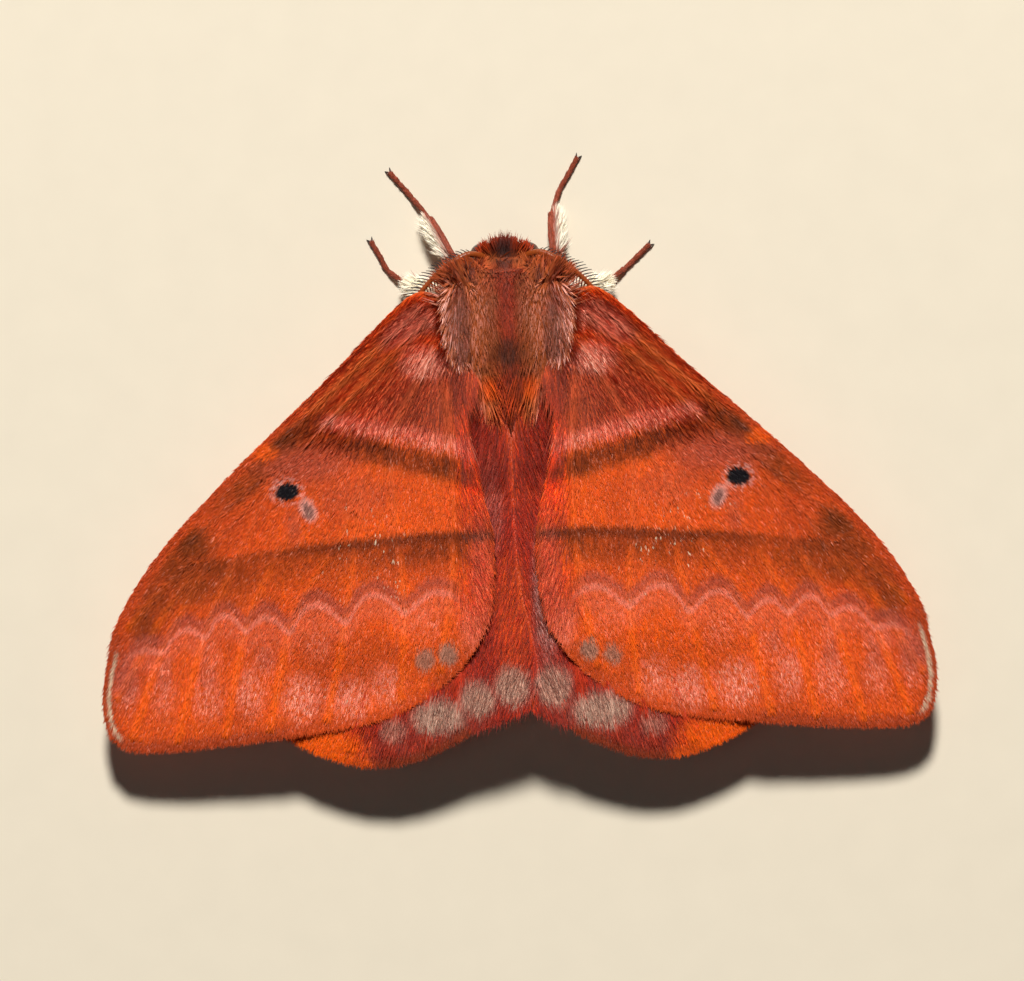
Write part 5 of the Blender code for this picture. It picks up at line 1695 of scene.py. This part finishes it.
class MakeHindwings(bpy.types.Operator):
    """Make both hindwings, their scales, their long hair and their fringes"""

    bl_idname = "moth.make_hindwings"
    bl_label = "Make Hindwings"

    def execute(self, context):
        sizes, coat = context.scene.moth_sizes, context.scene.moth_coat
        for word, side in SIDES.items():
            outline, margin_count = hindwing_outline(side)
            wing = wing_parts(
                outline, margin_count, HINDWING_VEINS, hindwing_height, side, sizes, hindwing_lies
            )
            name = f"hindwing_{word}"
            wing_sheet(name, wing, "hindwing", "wing_red")
            x, y = wing["plan"].T
            shown = np.clip(eased(x, 5.0, 3.5) + eased(y, -13.5, -15.5), 0, 1)
            above = forewing_outline()[0]
            hidden = inside(wing["plan"], above)
            hidden &= nearest_on_line(wing["plan"], closed_line(above))[0] > 0.5
            shown[hidden] = 0
            wing_coat(
                wing, f"{name}_scales", "hindwing scales", "wing_red", coat, 0.08 + 0.82 * shown
            )
            wing_coat(
                wing, f"{name}_underside_scales", "underside scales", "wing_red", coat,
                np.full(len(x), UNDERSIDE_COVER), False,
            )
            cover = np.clip(eased(x, 4.5, 3.0) + eased(y, -15.5, -17.0) * eased(x, 14.0, 10.0), 0, 1)
            cover[hidden] = 0
            cover *= eased(wing["attributes"]["edges"][:, 2], 0.9, 1.7)
            wing_trim(
                name, wing, "hindwing", "wing_red", sizes, cover, (43.0, 0.062, 1.05), coat.seed + 13
            )
        return {"FINISHED"}


def swirl(points):
    """A slow wander of the coat's direction, which breaks it into curved tufts."""
    x, y, _ = points.T
    first = np.sin(1.9 * x + 1.3 * np.sin(1.1 * y))
    second = np.sin(1.6 * y + 0.9 * np.sin(1.4 * x + 1.0))
    return first * second


def body_unwrap(points):
    """The trunk's map: once round the body across, and from tail to head upwards."""
    x, y, z = points.T
    angle = np.arctan2(z - 5.0, x) / (2 * math.pi) + 0.5
    share = (y + 14) / 32
    return np.column_stack((
        MAP_EDGE + MAP_SPAN * angle, MAP_EDGE + share * MAP_SPAN, np.zeros(len(points))
    ))


def trunk_lie(points, normals, regions):
    """How the hair lies on thorax, abdomen and head, how long it is and how far it stands up."""
    x, y, z = points.T
    side, hand = np.abs(x), np.sign(x)
    lie = np.tile(np.array((0.0, -1.0, 0.0)), (len(points), 1))
    # The hair draws to the middle on the back, parts at the shoulders, and is long behind.
    upper = eased(z, 5.6, 7.4)
    inward = eased(side, 0.3, 1.0) * eased(side, 3.4, 2.0) * eased(y, 7.4, 9.0)
    outward = eased(side, 3.2, 4.4) * eased(y, 6.8, 8.4)
    shoulder = eased(side, 3.0, 4.4) * eased(y, 11.6, 13.4)
    behind = eased(y, 7.8, 6.2)
    across = 0.35 * outward - 0.2 * inward + 0.5 * shoulder
    across -= 0.3 * behind * (eased(side, 1.0, 1.8) - 1.6 * eased(side, 2.2, 3.0))
    lie[:, 0] = upper * (hand * across + 0.2 * swirl(points))
    lie[:, 2] = 1.4 * np.clip(normals[:, 1], 0, 1)
    reach = 1 + 0.25 * upper * outward + 1.1 * upper * behind - 0.3 * eased(z, 5.0, 3.6)
    rise = 1 + 0.3 * upper * outward + 2.4 * upper * behind * eased(side, 3.0, 2.2)
    abdomen = regions["trunk"] == "abdomen"
    reach[abdomen] = 0.75 + 0.2 * eased(y[abdomen], -9.0, -13.0)
    # The head's hair points forward over the face, and spreads over the eyes.
    head = regions["trunk"] == "head"
    lie[head] = (0.0, 1.0, 0.1)
    lie[head, 0] = 0.75 * hand[head] * eased(side[head], 0.3, 1.4)
    face = head & (y > 16.3) & (z < 5.4)
    lie[face] = (0.0, 0.4, -1.0)
    lie[face, 0] = x[face] * 0.25
    reach[head] = 0.7
    crown = head & (z >= 5.4)
    reach[crown] = np.clip(17.75 - 0.7 * side[crown] - y[crown], 0.3, 1.5) / 1.2
    reach[face] = 0.25
    rise[head] = 1.0
    return {"lie": unit(lie), "reach": reach, "rise": rise, "unwrap": body_unwrap(points)}


def ruff_lie(points):
    """Hair that leans from collar and shoulders to the antennae, and ends in an even rim."""
    x, y, _ = points.T
    distance, way, _ = nearest_on_line(np.column_stack((np.abs(x), y)), smooth_line(RUFF_EDGE, 0.3))
    sideways = 0.9 * eased(y, 13.4, 12.2)
    lie = np.column_stack((np.sign(x) * (sideways - way[:, 1]), way[:, 0], np.full(len(x), 0.1)))
    reach = np.clip(distance, 0.5, 2.4)
    rise = np.ones(len(x))
    return {"lie": unit(lie), "reach": reach, "rise": rise, "unwrap": body_unwrap(points)}


def leg_lie(points, regions):
    """Scales lie down each leg. The shins of the fore and middle legs carry pale brushes."""
    x, _, z = points.T
    count = len(points)
    piece, share = regions["piece"], regions["share"]
    reach = np.select([piece == "foot", piece == "tibia"], [0.75, 1.0], 1.3)
    reach *= 1 - 0.5 * (piece == "tibia") * eased(share, 0.7, 1.0)
    pale = np.zeros(count)
    for name in LEGS:
        if name.startswith("hind"):
            continue
        _, knee, heel, _, _ = leg_path(name)
        here = (regions["leg"] == name) & (piece == "tibia")
        along = (heel - knee).normalized()
        fore = name.startswith("fore")
        outer = Vector((math.copysign(1, knee.x), 0, 0)) if fore else Vector((0, 0, 1))
        outer = np.array((outer - along * outer.dot(along)).normalized())
        middle = np.array(knee) + share[here, None] * np.array(heel - knee)
        facing = ((points[here] - middle) @ outer) / 0.35
        pale[here] = eased(facing, 0.3, 0.65) if fore else eased(facing, -0.3, 0.2)
    number = np.array([sorted(LEGS).index(name) if name else 0 for name in regions["leg"]])
    along = share / 3 + np.select([piece == "femur", piece == "tibia"], [0.0, 1 / 3], 2 / 3)
    turn = np.arctan2(z, x) / (2 * math.pi) + 0.5
    unwrap = np.column_stack((
        MAP_EDGE + 0.16 * number + 0.13 * turn, MAP_EDGE + MAP_SPAN * along, np.zeros(count)
    ))
    return {
        "lie": regions["way"], "reach": reach, "rise": np.ones(count), "unwrap": unwrap, "pale": pale
    }


FEWEST_SKIN_POINTS = 1000


class MakeBody(bpy.types.Operator):
    """Make the one skin of body and legs, and the hair and scales that cover it"""

    bl_idname = "moth.make_body"
    bl_label = "Make Body and Coat"

    def execute(self, context):
        sizes, coat = context.scene.moth_sizes, context.scene.moth_coat
        skin = body_skin(sizes)
        points, faces = points_of(skin.data), triangles_of(skin.data)
        if len(points) < FEWEST_SKIN_POINTS:
            raise RuntimeError("the body's skin came out empty")
        normals = np.empty(len(points) * 3, dtype=np.float32)
        skin.data.vertices.foreach_get("normal", normals)
        normals = normals.reshape(-1, 3)
        regions = body_regions(points)
        limb = regions["limb"].astype(float)
        legs = leg_lie(points, regions)
        for word, values in (("pale", legs["pale"] * limb), ("limb", limb)):
            made = skin.data.attributes.new(word, "FLOAT", "POINT")
            made.data.foreach_set("value", values.astype(np.float32))
        none = np.zeros(len(points))
        trunk = {**trunk_lie(points, normals, regions), "pale": none, "limb": none}
        ruff = {**ruff_lie(points), "pale": none, "limb": none}
        brush = {**legs, "limb": none}
        legs["limb"] = limb
        x, y, z = points.T
        part = {word: (regions["trunk"] == word) * (1 - limb) for word in ("thorax", "abdomen", "head")}
        fine = 0.35 + 0.65 * eased(z, 4.6, 6.6)
        shoulders = part["thorax"] * eased(y, 11.2, 12.2) * eased(z, 8.3, 7.6) * eased(z, 2.6, 3.8)
        shoulders *= eased(normals[:, 2], 0.8, 0.45)
        side = np.abs(x)
        crease = part["thorax"] * np.exp(-((side - 3.3) / 0.6) ** 2 - ((y - 13.9) / 0.55) ** 2)
        ruff_cover = 0.7 * shoulders * eased(side, 1.5, 2.2)
        ruff_cover += 0.3 * shoulders * eased(side, 3.4, 4.2) * eased(y, 14.2, 13.4)
        ruff_cover = np.maximum(ruff_cover, 0.8 * crease)
        back_hair = part["thorax"] * fine * (1 - 0.85 * crease)
        back_hair *= 1 - 0.8 * shoulders * eased(side, 1.5, 2.2)
        shins = legs["pale"] > 0.3
        thigh = (regions["piece"] == "femur") * limb
        hair, width = coat.hair_length / MM, coat.hair_width / MM
        scale, scale_width = coat.leg_scale_length / MM, coat.leg_scale_width / MM
        # Each coat: name, where it grows, its directions, tufts, number to a square millimetre,
        # length, width, height, tilt and turn in degrees, and slot.
        coats = (
            ("thorax_right_hair", back_hair * (x > 0), trunk, "bristles",
             coat.hair_density, hair, width, 0.22, 7, 15, "coat_brown"),
            ("thorax_left_hair", back_hair * (x <= 0), trunk, "bristles",
             coat.hair_density, hair, width, 0.22, 7, 15, "coat_brown"),
            ("ruff_hair", ruff_cover, ruff, "bristles",
             150.0, 1.0, width * 1.15, 0.25, 5, 9, "coat_orange"),
            ("abdomen_hair", part["abdomen"], trunk, "bristles",
             coat.hair_density * 0.15, hair, width * 1.7, 0.3, 9, 18, "coat_brown"),
            ("head_hair", part["head"], trunk, "bristles",
             coat.hair_density, hair, width, 0.3, 10, 20, "coat_orange"),
            ("leg_scales", limb * (1 - 0.8 * thigh) * (1 - shins), legs, "scales",
             180.0, scale, scale_width * 1.1, 0.15, 6, 10, "leg_rust"),
            ("leg_hair", thigh, legs, "bristles",
             coat.hair_density * 0.3, hair * 0.6, width * 1.2, 0.2, 10, 16, "leg_rust"),
            ("leg_brushes", shins.astype(float), brush, "scales",
             250.0, scale * 4.8, scale_width * 1.4, 0.4, 23, 6, "coat_cream"),
        )
        for number, row in enumerate(coats):
            name, cover, lies, tufts, density, length, broad, high, tilt, turn, slot = row
            grow(
                name, emitter(name, points, faces, lies, cover), "body hair", slot, ("pale", "limb"),
                Tufts=tufts, Density=density, Width=broad, Length=length, Height=high,
                Tilt=math.radians(tilt), Turn=math.radians(turn), Uneven=0.35,
                Seed=coat.seed + 20 + number,
            )
        finish_piece(skin, "body_skin", "body skin", "coat_brown", FLESH)
        return {"FINISHED"}


class MakeEyes(bpy.types.Operator):
    """Make the two compound eyes"""

    bl_idname = "moth.make_eyes"
    bl_label = "Make Eyes"

    def execute(self, context):
        radius = context.scene.moth_sizes.eye_radius / MM
        for word, side in SIDES.items():
            shape = bmesh.new()
            bmesh.ops.create_icosphere(shape, subdivisions=5, radius=radius)
            centre = Matrix.Translation((EYE_CENTRE[0] * side, EYE_CENTRE[1] - 0.08, EYE_CENTRE[2]))
            bmesh.ops.transform(shape, matrix=centre, verts=shape.verts)
            mesh = bpy.data.meshes.new("eye")
            shape.to_mesh(mesh)
            shape.free()
            eye = bpy.data.objects.new("eye", mesh)
            context.scene.collection.objects.link(eye)
            finish_piece(eye, f"eye_{word}_facets", "eye", "eye_dark", [f"eye_{word}"])
        return {"FINISHED"}


# Points of the shaft's line before its first teeth.
COMB_START = 16


def ramus_shape(bend):
    """One tooth of the antenna's comb: a thin curved rod, one unit long, pointing along Y."""
    path = [Vector((bend * t * t, t, 0.05 * t - 0.2 * t * t)) for t in np.linspace(0, 1, 6)]
    radii = [0.07 * (1 - 0.65 * t) for t in np.linspace(0, 1, 6)]
    points, faces = tube(path, radii, 4)
    patch = [(0.0, p[1], 0.0) for p in points]
    made = new_object("ramus", points, faces, {"patch": patch})
    outwards(made)
    return made


def comb_tree():
    """Geometry nodes that set teeth along both sides of a shaft's line."""
    inputs = {
        "Line": "Geometry", "Left Tooth": "Object", "Right Tooth": "Object", "Pitch": "Float",
        "Length": "Float", "Lean": "Float", "Seed": "Int", "Finish": "Material",
    }
    tree, given, result = new_group("comb", "GeometryNodeTree", inputs, {"Comb": "Geometry"})
    curve = add(tree, "GeometryNodeMeshToCurve", {0: given["Line"]})
    spaced = add(tree, "GeometryNodeResampleCurve", {
        "Curve": curve.outputs[0], "Length": given["Pitch"],
    }, mode="LENGTH")
    share = Field(tree, tree.nodes.new("GeometryNodeSplineParameter").outputs["Factor"])
    tangent = Field(tree, tree.nodes.new("GeometryNodeInputTangent").outputs[0])
    hump = (share * math.pi).maths("SINE").maths("POWER", 0.6)
    both = tree.nodes.new("GeometryNodeJoinGeometry")
    for number, (hand, word) in enumerate(((1.0, "Left Tooth"), (-1.0, "Right Tooth"))):
        tooth = add(tree, "GeometryNodeObjectInfo", {"Object": given[word], "As Instance": True})
        across = add(tree, "ShaderNodeVectorMath", {
            0: tangent, 1: (0.0, 0.0, hand),
        }, operation="CROSS_PRODUCT")
        facing = add(tree, "FunctionNodeAxesToRotation", {
            "Primary Axis": across.outputs[0], "Secondary Axis": (0.0, 0.0, 1.0),
        }, primary_axis="Y", secondary_axis="Z")
        draw = add(tree, "FunctionNodeRandomValue", {2: 0.86, 3: 1.1, "Seed": given["Seed"] + number})
        lean = joined(0.0, 0.0, given["Lean"] * hand)
        euler = add(tree, "FunctionNodeEulerToRotation", {0: lean})
        turned = add(tree, "FunctionNodeRotateRotation", {
            "Rotation": facing.outputs[0], "Rotate By": euler.outputs[0],
        }, rotation_space="LOCAL")
        length = given["Length"] * (hump * 0.68 + 0.32) * Field(tree, draw.outputs[1])
        teeth = add(tree, "GeometryNodeInstanceOnPoints", {
            "Points": spaced.outputs[0],
            "Instance": tooth.outputs["Geometry"],
            "Rotation": turned.outputs[0],
            "Scale": joined(1.0, length, 1.0),
        })
        tree.links.new(teeth.outputs[0], both.inputs[0])
    make_real(tree, both, given["Finish"], result)
    return tree


class MakeAntennae(bpy.types.Operator):
    """Make the antennae: a ringed shaft with a comb of teeth down both sides"""

    bl_idname = "moth.make_antennae"
    bl_label = "Make Antennae"

    def execute(self, context):
        sizes, coat = context.scene.moth_sizes, context.scene.moth_coat
        teeth = {"Left Tooth": ramus_shape(-0.25), "Right Tooth": ramus_shape(0.25)}
        tree = comb_tree()
        for word, side in SIDES.items():
            path = smooth_line([(p[0] * side, *p[1:]) for p in ANTENNA_PATH], 0.1)
            share = np.linspace(0, 1, len(path))
            base = np.where(share < 0.06, 1.2, 1.0)
            rings = 1 + 0.08 * np.cos(share * 2 * math.pi * len(path) / 2.6)
            radii = sizes.antenna_radius / MM * (1 - 0.55 * share) * base * rings
            points, faces = tube(path, radii, 10)
            flat = np.zeros((len(points), 3))
            shaft = new_object("shaft", points, faces, {"patch": flat})
            outwards(shaft)
            finish_piece(
                shaft, f"antenna_{word}_shaft", "antenna", "coat_orange", [f"antenna_{word}"]
            )
            line = bpy.data.meshes.new("line")
            kept = path[COMB_START:]
            line.from_pydata([tuple(p) for p in kept], [(i, i + 1) for i in range(len(kept) - 1)], [])
            comb = bpy.data.objects.new("comb", line)
            context.scene.collection.objects.link(comb)
            modifier = comb.modifiers.new("comb", "NODES")
            modifier.node_group = tree
            set_inputs(modifier, {
                **teeth, "Pitch": sizes.ramus_pitch / MM, "Length": sizes.ramus_length / MM,
                "Lean": math.radians(20), "Seed": coat.seed, "Finish": bpy.data.materials["antenna"],
            })
            converted(comb)
            finish_piece(comb, f"antenna_{word}_comb", "antenna", "coat_orange")
        for tooth in teeth.values():
            bpy.data.objects.remove(tooth)
        return {"FINISHED"}


CLAW_SPREAD = math.radians(26)


class MakeClaws(bpy.types.Operator):
    """Make the two curved claws of each foot"""

    bl_idname = "moth.make_claws"
    bl_label = "Make Claws"

    def execute(self, context):
        length = context.scene.moth_sizes.claw_length / MM
        points, faces, patch = [], [], []
        for name in LEGS:
            path = foot_path(name)
            ahead = Vector(path[-1] - path[-4])
            ahead.z = 0
            ahead.normalize()
            tip = Vector(path[-1])
            tip.z = 0.2
            for hand in (1, -1):
                out = Matrix.Rotation(CLAW_SPREAD * hand, 3, "Z") @ ahead
                sideways = out.cross(Vector((0, 0, 1))) * -0.06 * hand
                curve = []
                for t in np.linspace(0, 1, 8):
                    rise = 0.12 * math.sin(math.pi * min(1.0, t * 1.3)) - 0.13 * t * t
                    curve.append(tip + sideways + out * length * (t - 0.15) + Vector((0, 0, rise)))
                radii = [0.1 * (1 - t) ** 0.7 + 0.012 for t in np.linspace(0, 1, 8)]
                claw, claw_faces = tube(curve, radii, 8)
                start = len(points)
                points += [(p.x, p.y, max(p.z, 0.0)) for p in claw]
                patch += [(0.0, k // 8 / 7, 0.0) for k in range(len(claw))]
                faces += [tuple(start + k for k in face) for face in claw_faces]
        claws = new_object("claws", points, faces, {"patch": patch})
        outwards(claws)
        finish_piece(claws, "claws", "claw", "leg_rust")
        return {"FINISHED"}


FLOOR_HALF = 0.6
SENSOR_WIDTH = 36.0
AIM_HEIGHT = 0.004
CAMERA_DISTANCE = 0.45
FRAME_WIDTH = 0.07885
WING_LEVEL = 0.007
FRAME_CENTRE = (-0.00008, -0.00235)
CAMERA_ROLL = math.radians(-2)


def add_light(name, place, aim, size, power, colour):
    """A soft round light aimed at a point."""
    data = bpy.data.lights.new(name, "AREA")
    data.shape = "DISK"
    data.size = size
    data.energy = power
    data.color = colour
    light = bpy.data.objects.new(name, data)
    bpy.context.scene.collection.objects.link(light)
    light.location = place
    light.rotation_euler = (Vector(aim) - Vector(place)).to_track_quat("-Z", "Y").to_euler()
    return light


class MakeStage(bpy.types.Operator):
    """Make the pale floor, the studio light and the camera"""

    bl_idname = "moth.make_stage"
    bl_label = "Make Stage"

    def execute(self, context):
        half = FLOOR_HALF
        corners = ((-half, -half, 0), (half, -half, 0), (half, half, 0), (-half, half, 0))
        mesh = bpy.data.meshes.new("floor")
        mesh.from_pydata(corners, [], [(0, 1, 2, 3)])
        mesh.materials.append(bpy.data.materials["floor"])
        floor = bpy.data.objects.new("floor", mesh)
        context.scene.collection.objects.link(floor)
        centre = (FRAME_CENTRE[0], FRAME_CENTRE[1] + SHIFT_Y * MM)
        data = bpy.data.cameras.new("camera")
        data.sensor_width = SENSOR_WIDTH
        data.lens = SENSOR_WIDTH * CAMERA_DISTANCE / FRAME_WIDTH
        data.clip_start = 0.01
        camera = bpy.data.objects.new("camera", data)
        camera.location = (*centre, WING_LEVEL + CAMERA_DISTANCE)
        camera.rotation_euler = (0.0, 0.0, CAMERA_ROLL)
        context.scene.collection.objects.link(camera)
        context.scene.camera = camera
        aim = (*centre, AIM_HEIGHT)
        add_light("key", (0.0, 0.63, 0.8), aim, 0.16, 13.3, (1.0, 0.97, 0.92))
        add_light("fill", (-0.2, -0.1, 0.9), aim, 0.5, 0.25, (1.0, 0.98, 0.96))
        world = bpy.data.worlds.new("studio")
        world.use_nodes = True
        sky = world.node_tree.nodes["Background"]
        sky.inputs["Color"].default_value = (0.95, 0.96, 1.0, 1.0)
        sky.inputs["Strength"].default_value = 0.015
        context.scene.world = world
        context.scene.view_settings.view_transform = "Standard"
        return {"FINISHED"}


OPERATORS = (
    MakeFinishes, MakeForewings, MakeHindwings, MakeBody, MakeEyes, MakeAntennae, MakeClaws, MakeStage,
)


class MothPanel(bpy.types.Panel):
    """Lists the pieces of the moth and their settings"""

    bl_idname = "VIEW3D_PT_moth"
    bl_label = "Moth"
    bl_space_type = "VIEW_3D"
    bl_region_type = "UI"
    bl_category = "Moth"

    def draw(self, context):
        column = self.layout.column(align=True)
        for operator in OPERATORS:
            column.operator(operator.bl_idname)
        for settings in ("moth_sizes", "moth_coat", "moth_colours"):
            group = getattr(context.scene, settings)
            box = self.layout.box()
            for name in group.bl_rna.properties.keys():
                if name not in ("rna_type", "name"):
                    box.prop(group, name)


CLASSES = (MothSizes, MothCoat, MothColours, *OPERATORS, MothPanel)


def register():
    for each in CLASSES:
        bpy.utils.register_class(each)
    bpy.types.Scene.moth_sizes = PointerProperty(type=MothSizes)
    bpy.types.Scene.moth_coat = PointerProperty(type=MothCoat)
    bpy.types.Scene.moth_colours = PointerProperty(type=MothColours)


def unregister():
    for name in ("moth_sizes", "moth_coat", "moth_colours"):
        delattr(bpy.types.Scene, name)
    for each in reversed(CLASSES):
        bpy.utils.unregister_class(each)


def main():
    register()
    bpy.ops.moth.make_finishes()
    bpy.ops.moth.make_forewings()
    bpy.ops.moth.make_hindwings()
    bpy.ops.moth.make_body()
    bpy.ops.moth.make_eyes()
    bpy.ops.moth.make_antennae()
    bpy.ops.moth.make_claws()
    bpy.ops.moth.make_stage()
    drop_tufts()


if __name__ == "__main__":
    main()
